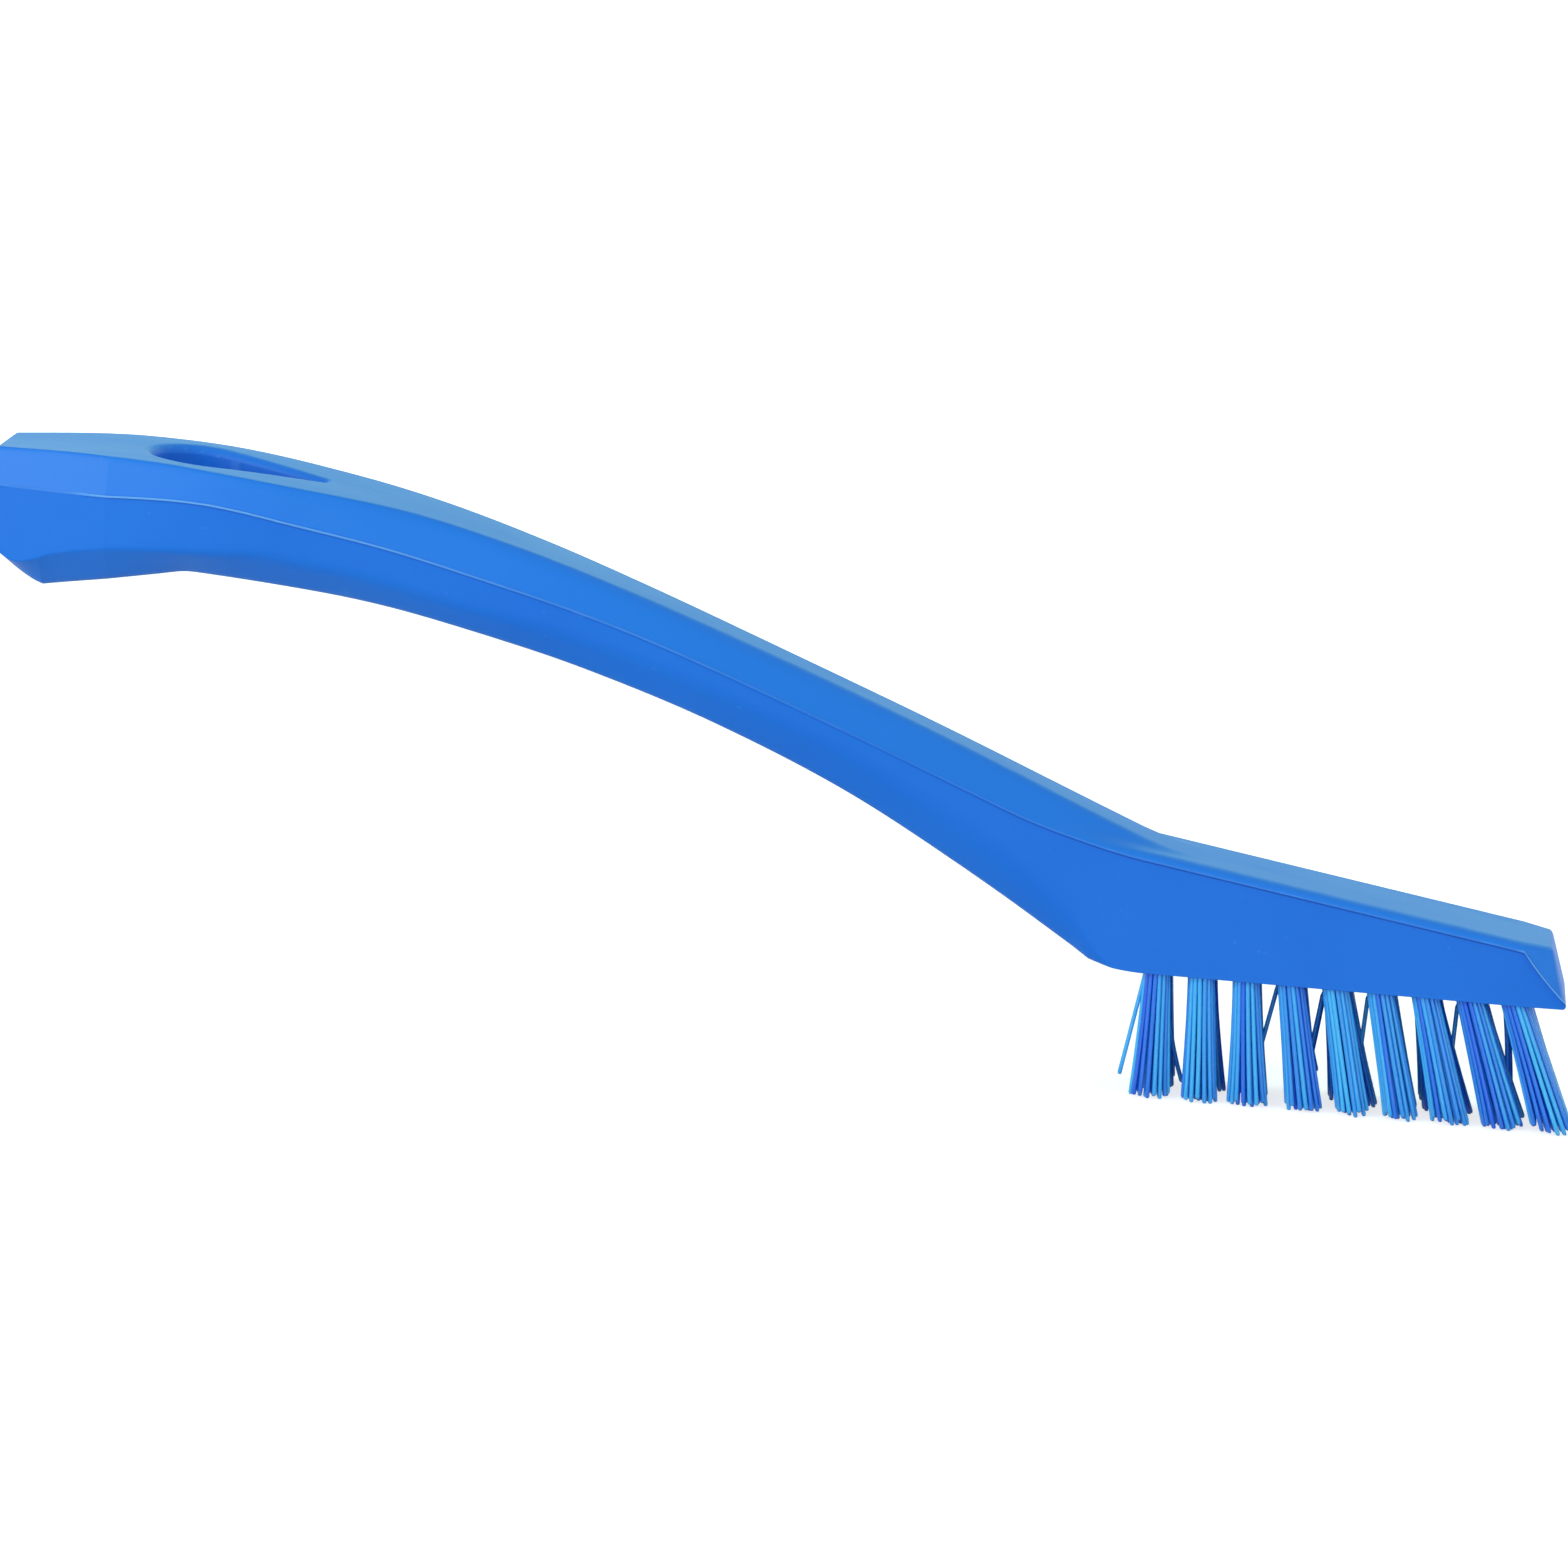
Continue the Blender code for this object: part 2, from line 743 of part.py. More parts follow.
def add_cutter(mesh, collection):
    cutter = bpy.data.objects.new(mesh.name, mesh)
    collection.objects.link(cutter)
    cutter.hide_render = True
    cutter.display_type = "WIRE"
    return cutter


def add_boolean(piece, operand, operation):
    modifier = piece.modifiers.new(operand.name, "BOOLEAN")
    modifier.operation = operation
    modifier.solver = "EXACT"
    modifier.object = operand


def add_handle_block(pieces, cutters, parent, material):
    block = add_piece(body_mesh(), "handle_block", material, pieces, parent)
    for mesh in (slot_cutter_mesh(), holes_cutter_mesh(), pockets_cutter_mesh()):
        add_boolean(block, add_cutter(mesh, cutters), "DIFFERENCE")


def add_tuft(row, column, pieces, cutters, parent, material):
    label = f"r{row + 1}_c{column + 1}"
    frame = tuft_frame(row, column)
    tuft = add_piece(plug_mesh(frame, f"tuft_{label}"), f"tuft_{label}", material, pieces, parent)
    window = add_cutter(window_mesh(frame, f"window_{label}"), cutters)
    strands = add_cutter(strands_mesh(row, column, frame, f"strands_{label}"), cutters)
    add_boolean(tuft, window, "DIFFERENCE")
    add_boolean(tuft, strands, "UNION")


def add_anchor(row, column, pieces, parent, material):
    bm = bmesh.new()
    size = (ANCHOR_WIDTH, ANCHOR_THICKNESS, ANCHOR_HEIGHT)
    box_into(bm, tuft_frame(row, column), size, ANCHOR_DEPTH)
    name = f"anchor_r{row + 1}_c{column + 1}"
    add_piece(finish_mesh(bm, name), name, material, pieces, parent)


def build():
    clear_scene()
    pieces = new_collection("hand_scrub_brush")
    cutters = new_collection("cutters")
    brush = bpy.data.objects.new("hand_scrub_brush", None)
    pieces.objects.link(brush)
    plastic = make_material("moulded_plastic")
    filament = make_material("bristle_filament")
    steel = make_material("anchor_steel")
    add_handle_block(pieces, cutters, brush, plastic)
    for row, column in tuft_places():
        add_tuft(row, column, pieces, cutters, brush, filament)
        add_anchor(row, column, pieces, brush, steel)


build()
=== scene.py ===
"""The looks of a hand scrub brush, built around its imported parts.

X runs from the butt of the handle to the front of the head, Y across the brush
and Z up, and the brush stands on its bristle tips.  All lengths are in metres.
A place on the body is given by how far along it lies from the butt, its side
(Y) and its height above the bristle face.
"""

import math
import random

import bmesh
import bpy
from mathutils import Matrix, Vector, noise

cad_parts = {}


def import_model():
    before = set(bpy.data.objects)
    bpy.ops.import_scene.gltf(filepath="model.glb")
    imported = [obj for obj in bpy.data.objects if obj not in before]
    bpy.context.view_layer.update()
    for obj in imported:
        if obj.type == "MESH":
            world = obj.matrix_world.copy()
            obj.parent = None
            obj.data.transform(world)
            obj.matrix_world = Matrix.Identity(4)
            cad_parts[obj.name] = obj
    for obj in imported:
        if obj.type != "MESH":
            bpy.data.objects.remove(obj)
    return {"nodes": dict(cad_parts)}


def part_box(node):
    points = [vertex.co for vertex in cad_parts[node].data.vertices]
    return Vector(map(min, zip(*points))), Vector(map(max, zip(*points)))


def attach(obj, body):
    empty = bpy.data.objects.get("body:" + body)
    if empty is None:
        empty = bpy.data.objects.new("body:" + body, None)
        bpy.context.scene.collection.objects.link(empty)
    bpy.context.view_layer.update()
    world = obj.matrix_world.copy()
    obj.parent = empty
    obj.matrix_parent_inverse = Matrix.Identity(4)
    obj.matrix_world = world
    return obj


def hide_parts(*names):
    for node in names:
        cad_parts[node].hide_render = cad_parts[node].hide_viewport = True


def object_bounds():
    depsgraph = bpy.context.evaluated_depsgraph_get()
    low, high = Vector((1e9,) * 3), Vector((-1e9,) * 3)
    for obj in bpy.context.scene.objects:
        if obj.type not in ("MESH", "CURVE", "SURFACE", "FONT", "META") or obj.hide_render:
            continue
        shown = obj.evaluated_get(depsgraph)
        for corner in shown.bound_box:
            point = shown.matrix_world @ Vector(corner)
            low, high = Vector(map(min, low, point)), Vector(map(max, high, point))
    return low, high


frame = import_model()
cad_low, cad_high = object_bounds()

block_low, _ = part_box("handle_block")
BUTT_X = block_low.x
FACE_Z = block_low.z

# Overall sizes
BODY_LENGTH = 0.205
HEAD_LENGTH = 0.0606
HEAD_WIDTH = 0.0148
BUTT_RISE = 0.0554
HANDLE_THICKNESS = 0.0120

# Head
HEEL_THICKNESS = 0.01675
TOE_THICKNESS = 0.0073
HEEL_STEP = 0.0010
HEEL_CHAMFER_LENGTH = 0.0074
HEEL_FACET_LENGTH = 0.0030
BACK_FLAT_WIDTH = 0.0112
BACK_ROUND_DEPTH = 0.0010
FACE_EDGE_CHAMFER = 0.0003
TOE_CORNER_LENGTH = 0.0060
TOE_CORNER_TAPER = 0.0004
TOE_CORNER_INSET = 0.0014
TOE_LEAN = 0.0024
END_ROUND = 0.0006

# Handle
NECK_RISE = 0.0024
RIDGE_WIDTH = 0.0070
PARTING_DROP = 0.0044
BOTTOM_FACET_HEIGHT = 0.0045
NECK_BLEND = 0.0012

# Butt
BUTT_WIDTH = 0.0232
BUTT_FACET_RUN = 0.0010
BUTT_END_WIDTH = 0.0138
BUTT_END_FACET_RUN = 0.0013
BUTT_FACET_LENGTH = 0.0168
BUTT_LEAN = 0.0015
BUTT_DEPTH = 0.0180
BUTT_CHAMFER_LENGTH = 0.0081
BUTT_CHAMFER_RISE = 0.0059
BUTT_CHAMFER_CURVE = 1.4
BUTT_KINK_LENGTH = 0.0268

# Hanging slot
SLOT_START = 0.0207
SLOT_LENGTH = 0.0223
SLOT_WIDE_RADIUS = 0.0064
SLOT_NARROW_RADIUS = 0.0011
SLOT_WIDE_RIM = 0.0012
SLOT_NARROW_RIM = 0.0010

# Soft edges that the moulding has, as lengths cut off each side of a corner,
# and the largest share of an edge that a cut may take
FACET_EDGE = 0.0011
UNDERSIDE_EDGE = 0.0008
KINK_REACH = 0.0012
CREASE_REACH = 0.00012
LARGEST_CUT_SHARE = 0.45

# Flash along the parting line, and the small step under it on the head
LIP_OUT = 0.00022
LIP_HEIGHT = 0.00040
STEP_IN = 0.00017
# How far below the flash's foot its painted shade fades out
SHADE_BAND_WIDTH = 0.00022
# The flash's section: how far out, in shares of its width, and how far up from
# the parting line, in shares of its height, and how far down its foot lies
LIP_POINTS = ((0.15, 0.5), (1.0, 0.35), (1.0, -0.2))
LIP_FOOT = 0.5
# How its width wavers: each wave's length, its two places in the noise and its
# share of the width
LIP_WAVES = ((0.0021, 7.3, 0.0, 0.5), (0.0006, 3.1, 5.0, 0.35))
# Small burrs on the near side's flash: place along, width and height
BURRS = (
    (0.0360, 0.0005, 0.00013),
    (0.0392, 0.0011, 0.00012),
    (0.0029, 0.0006, 0.00010),
)

# Tufts
COLUMNS = 9
ROWS = 3
FAN_FIRST = math.radians(1.0)
FAN_LAST = math.radians(19.0)
ROW_SPLAY = math.radians(2.5)
HOLE_DIAMETER = 0.0035
HOLE_DEPTH = 0.0060
ANCHOR_WIDTH = 0.0040
ANCHOR_HEIGHT = 0.0019
ANCHOR_THICKNESS = 0.00035
ANCHOR_DEPTH = 0.0040
CLEARANCE = 0.0003
OVERRUN = 0.003
OVERRUN_SHARE = 0.15

# Filaments: the rings that they are packed in, with each ring's count and its
# share of the radius
PACK_RINGS = ((16, 1.0), (9, 0.6), (3, 0.22))
PACK_JITTER = 0.06
STRAND_DIAMETER = 0.00058
ROOT_RADIUS = 0.00144
ROOT_DEPTH = 0.0030
TIP_SPREAD_ACROSS = 1.3
TIP_JITTER = 0.00006
TIP_SLOPE = 0.08
TIP_RAGGED = 0.0008
TIP_RAGGED_POWER = 1.5
# A tip's rounding: how far back from its end, in radii, and the radius's share
TIP_ROUND = ((0.7, 1.0), (0.25, 0.82), (0.0, 0.45))
STRAND_BOW = 0.00003
STRAND_SIDES = 10
STRAND_STEPS = 8
FIRST_SEED = 1000

# Mesh fineness
STATION_STEP = 0.0006
TOP_STEPS = 10
ROUND_STEPS = 8
SHOULDER_STEPS = 14
SIDE_STEPS = 6
FACET_STEPS = 3
UNDER_STEPS = 8
CORNER_STEPS = 5
END_STEPS = 6
LEAN_PASSES = 3
RIM_STEPS = 8
SLOT_WIDE_STEPS = 72
SLOT_NARROW_STEPS = 20
HOLE_SIDES = 36
SHARP_ANGLE = math.radians(38.0)
STRAND_SHARP_ANGLE = math.radians(60.0)

HANDLE_LENGTH = BODY_LENGTH - HEAD_LENGTH
NECK_TOP = HEEL_THICKNESS + NECK_RISE
NECK_DEPTH = NECK_TOP - HEEL_STEP
BACK_ROUND_WIDTH = (HEAD_WIDTH - BACK_FLAT_WIDTH) / 2
BUTT_TOP_WIDTH = BUTT_WIDTH - 2 * BUTT_FACET_RUN
BUTT_END_TOP_WIDTH = BUTT_END_WIDTH - 2 * BUTT_END_FACET_RUN

# Side view of the handle
TOP_LINE_SHARES = (
    (0.00, 0.985),
    (0.10, 1.000),
    (0.185, 0.988),
    (0.285, 0.942),
    (0.385, 0.877),
    (0.485, 0.772),
    (0.585, 0.641),
    (0.71, 0.459),
    (0.85, 0.245),
    (1.00, 0.000),
    (1.09, -0.145),
)
THICKNESS_SHARES = (
    (0.00, 1.155),
    (0.15, 1.095),
    (0.29, 1.075),
    (0.44, 1.009),
    (0.58, 0.977),
    (0.72, 0.977),
    (1.00, 0.977),
)
SWELLING_SHARES = (
    (0.00, 0.0),
    (0.44, 0.0),
    (0.58, 0.01),
    (0.72, 0.137),
    (0.85, 0.50),
    (1.00, 1.0),
)
# Seen from above
PARTING_WIDTH_SHARES = (
    (0.00, 0.83),
    (0.10, 1.00),
    (0.157, 0.95),
    (0.225, 0.70),
    (0.304, 0.43),
    (0.383, 0.26),
    (0.51, 0.10),
    (0.66, 0.02),
    (0.80, 0.0),
    (1.00, 0.0),
)
RIDGE_WIDTH_SHARES = (
    (0.00, 0.84),
    (0.10, 1.00),
    (0.157, 0.96),
    (0.225, 0.78),
    (0.304, 0.53),
    (0.383, 0.38),
    (0.46, 0.26),
    (0.55, 0.15),
    (0.66, 0.05),
    (0.78, 0.0),
    (1.00, 0.0),
)
# Along the handle's length
PARTING_DROP_SHARES = (
    (0.00, 1.05),
    (0.10, 1.13),
    (0.21, 0.92),
    (0.31, 1.06),
    (0.43, 1.17),
    (0.60, 0.99),
    (0.92, 0.98),
    (1.00, 0.76),
    (1.09, 0.62),
)
BOTTOM_FACET_SHARES = (
    (0.00, 0.20),
    (0.022, 0.22),
    (0.035, 0.40),
    (0.057, 0.92),
    (0.082, 1.01),
    (0.115, 1.01),
    (0.15, 0.88),
    (0.186, 0.71),
    (0.222, 0.81),
    (0.255, 0.91),
    (0.31, 0.83),
    (0.45, 0.75),
    (0.57, 0.96),
    (0.66, 1.01),
    (0.83, 1.17),
    (0.93, 1.05),
    (0.985, 0.74),
)
UNDERSIDE_WIDTH_SHARES = (
    (0.00, 0.58),
    (0.057, 0.52),
    (0.12, 0.60),
    (0.30, 0.64),
    (0.45, 0.66),
    (0.60, 0.62),
    (0.75, 0.58),
    (0.92, 0.58),
    (0.985, 0.70),
)
RIDGE_SOFT_SHARES = (
    (0.00, 0.15),
    (0.11, 0.18),
    (0.17, 0.32),
    (0.30, 0.34),
    (0.60, 0.32),
    (0.80, 0.26),
    (1.00, 0.20),
    (1.09, 0.20),
)
FACET_EDGE_SHARES = (
    (0.0, 0.15), (0.10, 0.25), (0.22, 0.9), (0.45, 1.0), (0.70, 1.3),
    (0.85, 2.2), (0.97, 2.8), (1.01, 0.2), (1.42, 0.2),
)
LIP_SHARES = (
    (0.0, 0.0), (0.09, 0.0), (0.11, 1.0), (0.36, 0.9), (0.5, 0.5),
    (0.8, 0.35), (1.0, 0.3), (1.37, 0.3), (1.39, 1.0), (1.42, 1.0),
)
# Along the body, how strongly the flash is painted pale as a highlight
FLASH_HIGHLIGHT_SHARES = (
    (0.0, 0.1), (0.08, 0.2), (0.11, 0.65), (0.36, 0.5), (0.5, 0.2),
    (0.8, 0.05), (1.0, 0.12), (1.37, 0.12), (1.39, 0.8), (1.42, 0.8),
)
# Along the body, how dark the shade painted under the flash is
SEAM_SHADE_SHARES = (
    (0.0, 0.1), (0.09, 0.15), (0.12, 0.5), (0.5, 0.4), (0.8, 0.4),
    (1.0, 0.9), (1.42, 0.9),
)
STEP_SHARES = ((0.0, 0.0), (0.85, 0.0), (1.0, 1.0), (1.42, 1.0))
SIDE_WIDTH_SHARE = 0.955
FACE_WIDTH_SHARE = 0.95
FACE_SIDE_SHARE = 0.972


def clamp(value):
    return max(0.0, min(1.0, value))


def between(low, high, share):
    return low + (high - low) * share


def spread(start, end, count):
    """Evenly spaced places, leaving out the last."""
    return [between(start, end, i / count) for i in range(count)]


def smooth(shares, at):
    """Reads a table of shares as one smooth curve, straight beyond its ends."""
    places = [place for place, _ in shares]
    values = [value for _, value in shares]
    last = len(shares) - 1

    def slope(i):
        low, high = max(i - 1, 0), min(i + 1, last)
        return (values[high] - values[low]) / (places[high] - places[low])

    if at <= places[0]:
        return values[0] + slope(0) * (at - places[0])
    if at >= places[last]:
        return values[last] + slope(last) * (at - places[last])
    i = max(k for k in range(last) if places[k] <= at)
    span = places[i + 1] - places[i]
    t = (at - places[i]) / span
    return (
        (1 + 2 * t) * (1 - t) ** 2 * values[i]
        + t * (1 - t) ** 2 * span * slope(i)
        + t * t * (3 - 2 * t) * values[i + 1]
        + t * t * (t - 1) * span * slope(i + 1)
    )


def straight(shares, at):
    """Reads a table of shares with straight lines between its places."""
    if at <= shares[0][0]:
        return shares[0][1]
    for (low, first), (high, second) in zip(shares, shares[1:]):
        if at <= high:
            return between(first, second, (at - low) / (high - low))
    return shares[-1][1]


# The body's surfaces, as in its solid


def ridge_height(along):
    share = smooth(TOP_LINE_SHARES, along / HANDLE_LENGTH)
    return between(NECK_TOP, BUTT_RISE, share)


def back_height(along):
    share = (along - HANDLE_LENGTH) / HEAD_LENGTH
    return between(HEEL_THICKNESS, TOE_THICKNESS, share)


def handle_thickness(along):
    share = (along - BUTT_KINK_LENGTH) / (HANDLE_LENGTH - BUTT_KINK_LENGTH)
    taper = HANDLE_THICKNESS * smooth(THICKNESS_SHARES, share)
    end_taper = HANDLE_THICKNESS * THICKNESS_SHARES[-1][1]
    return taper + (NECK_DEPTH - end_taper) * smooth(SWELLING_SHARES, share)


def underside_height(along):
    corner = BUTT_RISE - BUTT_DEPTH
    if along < BUTT_CHAMFER_LENGTH:
        share = (1 - along / BUTT_CHAMFER_LENGTH) ** BUTT_CHAMFER_CURVE
        return between(corner, corner + BUTT_CHAMFER_RISE, share)
    if along < BUTT_KINK_LENGTH:
        kink = ridge_height(BUTT_KINK_LENGTH) - handle_thickness(BUTT_KINK_LENGTH)
        share = (along - BUTT_CHAMFER_LENGTH) / (BUTT_KINK_LENGTH - BUTT_CHAMFER_LENGTH)
        return between(corner, kink, share)
    if along < HANDLE_LENGTH:
        return ridge_height(along) - handle_thickness(along)
    return HEEL_STEP * clamp(1 - (along - HANDLE_LENGTH) / HEEL_CHAMFER_LENGTH) ** 2


def soft_underside(along):
    """The underside with its kink rounded as it is moulded."""
    reach = KINK_REACH * clamp(2 - abs(along - BUTT_KINK_LENGTH) / KINK_REACH)
    if reach == 0:
        return underside_height(along)
    places = [along + reach * share for share in (-1, -0.5, 0, 0.5, 1)]
    return sum(underside_height(place) for place in places) / len(places)


def heel_share(along):
    last_handle = BOTTOM_FACET_SHARES[-1][0] * HANDLE_LENGTH
    return clamp((along - last_handle) / (HANDLE_LENGTH + HEEL_FACET_LENGTH - last_handle))


def bottom_facet_height(along):
    last = BOTTOM_FACET_SHARES[-1][0]
    facet = BOTTOM_FACET_HEIGHT * smooth(BOTTOM_FACET_SHARES, min(along / HANDLE_LENGTH, last))
    return between(facet, FACE_EDGE_CHAMFER, heel_share(along))


def flared(along, end_width, narrow_width, wide_width, shares):
    share = (along - BUTT_FACET_LENGTH) / (HANDLE_LENGTH - BUTT_FACET_LENGTH)
    body = between(narrow_width, wide_width, smooth(shares, clamp(share)))
    if along < BUTT_FACET_LENGTH:
        body = between(end_width, body, along / BUTT_FACET_LENGTH)
    return body / 2


def toe_share(along):
    return clamp((along - BODY_LENGTH + TOE_CORNER_LENGTH) / TOE_CORNER_LENGTH)


def parting_half_width(along):
    body = flared(along, BUTT_END_WIDTH, HEAD_WIDTH, BUTT_WIDTH, PARTING_WIDTH_SHARES)
    return body - TOE_CORNER_TAPER * toe_share(along)


def shoulder_half_width(along):
    return parting_half_width(along) - TOE_CORNER_INSET * toe_share(along)


def ridge_half_width(along):
    return flared(along, BUTT_END_TOP_WIDTH, RIDGE_WIDTH, BUTT_TOP_WIDTH, RIDGE_WIDTH_SHARES)


def underside_half_width(along):
    last = UNDERSIDE_WIDTH_SHARES[-1][0]
    share = smooth(UNDERSIDE_WIDTH_SHARES, min(along / HANDLE_LENGTH, last))
    return parting_half_width(along) * between(share, FACE_WIDTH_SHARE, heel_share(along))


def side_half_width(along):
    share = between(SIDE_WIDTH_SHARE, FACE_SIDE_SHARE, heel_share(along))
    return parting_half_width(along) * share


def facet_run(along):
    """How wide the upper facet is, seen from above."""
    return parting_half_width(along) - ridge_half_width(along)


def ridge_softness(along):
    """How far the ridge's soft edge reaches on each side of it."""
    return facet_run(along) * smooth(RIDGE_SOFT_SHARES, along / HANDLE_LENGTH)


def handle_surface(along, side):
    out = abs(side) - ridge_half_width(along)
    soft = ridge_softness(along)
    if out > soft:
        run = out
    elif out > -soft:
        run = (out + soft) ** 2 / (4 * soft)
    else:
        run = 0.0
    drop = PARTING_DROP * smooth(PARTING_DROP_SHARES, along / HANDLE_LENGTH)
    return ridge_height(along) - drop * run / facet_run(along)


def back_surface(along, side):
    flat = shoulder_half_width(max(along, HANDLE_LENGTH)) - BACK_ROUND_WIDTH
    out = clamp((abs(side) - flat) / BACK_ROUND_WIDTH)
    return back_height(along) - BACK_ROUND_DEPTH * (1 - math.sqrt(1 - out * out))


def upper_surface(along, side):
    handle = handle_surface(along, side)
    back = back_surface(along, side)
    overlap = max(NECK_BLEND - abs(handle - back), 0.0)
    return max(handle, back) + overlap * overlap / (4 * NECK_BLEND)


def side_bottom(along):
    return soft_underside(along) + bottom_facet_height(along)


def parting_height(along):
    """The mould's parting line: along the side, then straight down the toe's corner."""
    start = upper_surface(along, shoulder_half_width(along))
    end = side_bottom(BODY_LENGTH) + END_ROUND
    toe = toe_share(along)
    if toe == 0:
        return start
    top = back_height(along - TOE_LEAN * toe)
    run = TOE_CORNER_LENGTH - TOE_LEAN * end / TOE_THICKNESS
    reach = TOE_CORNER_LENGTH - TOE_LEAN * start / top
    share = toe * reach / (run - TOE_LEAN * toe * (start - end) / top)
    return between(start, end, clamp(share))


def leaned(along, height):
    """Moves a point of an end section so that both ends slope as moulded."""
    toe = toe_share(along)
    if toe > 0:
        top = back_height(along - TOE_LEAN * toe)
        return along - TOE_LEAN * toe * height / top
    butt = clamp(1 - along / BUTT_FACET_LENGTH)
    parting = parting_height(along)
    rise = ridge_height(along) - parting
    return along + BUTT_LEAN * butt * clamp((height - parting) / rise)


def world(along, side, height):
    return Vector((BUTT_X + along, side, FACE_Z + height))


# The moulded body's fine surface


def burr(along, place, width):
    return max(0.0, 1 - abs(along - place) / width)


def lip_out(along, hand):
    """How far the flash stands out, which varies along each side."""
    share = straight(LIP_SHARES, along / HANDLE_LENGTH)
    waver = 1
    for length, across, up, part in LIP_WAVES:
        waver += part * noise.noise(Vector((along / length, hand * across, up)))
    out = LIP_OUT * share * waver
    if hand < 0:
        out += sum(height * burr(along, place, width) for place, width, height in BURRS)
    return out


def bend(before, corner, after, cut, steps):
    """Points along a corner that is softened by a length cut off each side."""
    first, second = Vector(before) - Vector(corner), Vector(after) - Vector(corner)
    first = first.normalized() * min(cut, first.length * LARGEST_CUT_SHARE)
    second = second.normalized() * min(cut, second.length * LARGEST_CUT_SHARE)
    points = []
    for i in range(steps + 1):
        t = i / steps
        points.append(tuple(Vector(corner) + first * (1 - t) ** 2 + second * t * t))
    return points


def run_between(start, end, count):
    """Points between two others, without either."""
    return [tuple(Vector(start).lerp(Vector(end), i / count)) for i in range(1, count)]


def half_section(along, hand):
    """One side of a cross-section, from the top's middle to the underside's."""
    ridge, soft = ridge_half_width(along), ridge_softness(along)
    shoulder, parting = shoulder_half_width(along), parting_half_width(along)
    sides = spread(0.0, ridge - soft, TOP_STEPS)
    sides += spread(ridge - soft, ridge + soft, ROUND_STEPS)
    for i in range(SHOULDER_STEPS):
        reach = math.sin(math.pi / 2 * i / SHOULDER_STEPS)
        sides.append(between(ridge + soft, shoulder, reach))
    points = []
    for side in sides:
        height = upper_surface(along, side)
        for _ in range(LEAN_PASSES):
            height = upper_surface(leaned(along, height), side)
        points.append((side, height))
    at = parting_height(along)
    out = lip_out(along, hand)
    step = STEP_IN * straight(STEP_SHARES, along / HANDLE_LENGTH)
    points += [(parting + out * away, at + LIP_HEIGHT * up) for away, up in LIP_POINTS]
    below = (parting - step, at - LIP_HEIGHT * LIP_FOOT)
    points.append(below)
    corner = (side_half_width(along) - step, side_bottom(along))
    edge = (underside_half_width(along), soft_underside(along))
    middle = (0.0, edge[1])
    cut = FACET_EDGE * straight(FACET_EDGE_SHARES, along / HANDLE_LENGTH)
    upper = bend(below, corner, edge, cut, CORNER_STEPS)
    lower = bend(corner, edge, middle, UNDERSIDE_EDGE, CORNER_STEPS)
    # A point just under the flash's foot, over which the painted shade fades
    down = Vector(upper[0]) - Vector(below)
    shade_band = min(SHADE_BAND_WIDTH, down.length / SIDE_STEPS)
    close = tuple(Vector(below) + down.normalized() * shade_band)
    points += [close] + run_between(close, upper[0], SIDE_STEPS) + upper
    points += run_between(upper[-1], lower[0], FACET_STEPS) + lower
    points += run_between(lower[-1], middle, UNDER_STEPS) + [middle]
    return points


def drawn_in(points, along, inset):
    """Draws a section in from its edge, for the rounding of the body's ends."""
    if inset == 0:
        return points
    at = parting_height(along)
    wide = max(side for side, _ in points)
    top = max(height for _, height in points) - at
    deep = at - min(height for _, height in points)
    moved = []
    for side, height in points:
        reach = top if height > at else deep
        moved.append((side * (1 - inset / wide), at + (height - at) * (1 - inset / reach)))
    return moved


def body_ring(along, inset):
    near = drawn_in(half_section(along, -1), along, inset)
    far = drawn_in(half_section(along, 1), along, inset)
    ring = [world(leaned(along, height), -side, height) for side, height in near]
    ring += [world(leaned(along, height), side, height) for side, height in reversed(far[1:-1])]
    return ring


def body_stations():
    """Places along the body with how far the section there is drawn in."""
    toe_start = BODY_LENGTH - TOE_CORNER_LENGTH
    creases = (BUTT_CHAMFER_LENGTH, BUTT_FACET_LENGTH, HANDLE_LENGTH, toe_start)
    count = int((BODY_LENGTH - 2 * END_ROUND) / STATION_STEP)
    places = [END_ROUND + STATION_STEP * i for i in range(1, count)]
    places = [
        place
        for place in places
        if all(abs(place - crease) > STATION_STEP / 2 for crease in creases)
    ]
    for crease in creases:
        places += [crease - CREASE_REACH, crease, crease + CREASE_REACH]
    stations = [(place, 0.0) for place in places]
    for i in range(END_STEPS + 1):
        angle = math.pi / 2 * i / END_STEPS
        deep, inset = END_ROUND * (1 - math.sin(angle)), END_ROUND * (1 - math.cos(angle))
        stations.append((deep, inset))
        stations.append((BODY_LENGTH - deep, inset))
    return sorted(stations)


def join_rings(bm, rings):
    """Adds the quads between each ring of vertices and the next."""
    for ring, following in zip(rings, rings[1:]):
        for i in range(len(ring)):
            k = (i + 1) % len(ring)
            bm.faces.new((ring[i], ring[k], following[k], following[i]))


def finish_mesh(bm, name):
    bmesh.ops.recalc_face_normals(bm, faces=bm.faces)
    mesh = bpy.data.meshes.new(name)
    bm.to_mesh(mesh)
    bm.free()
    return mesh


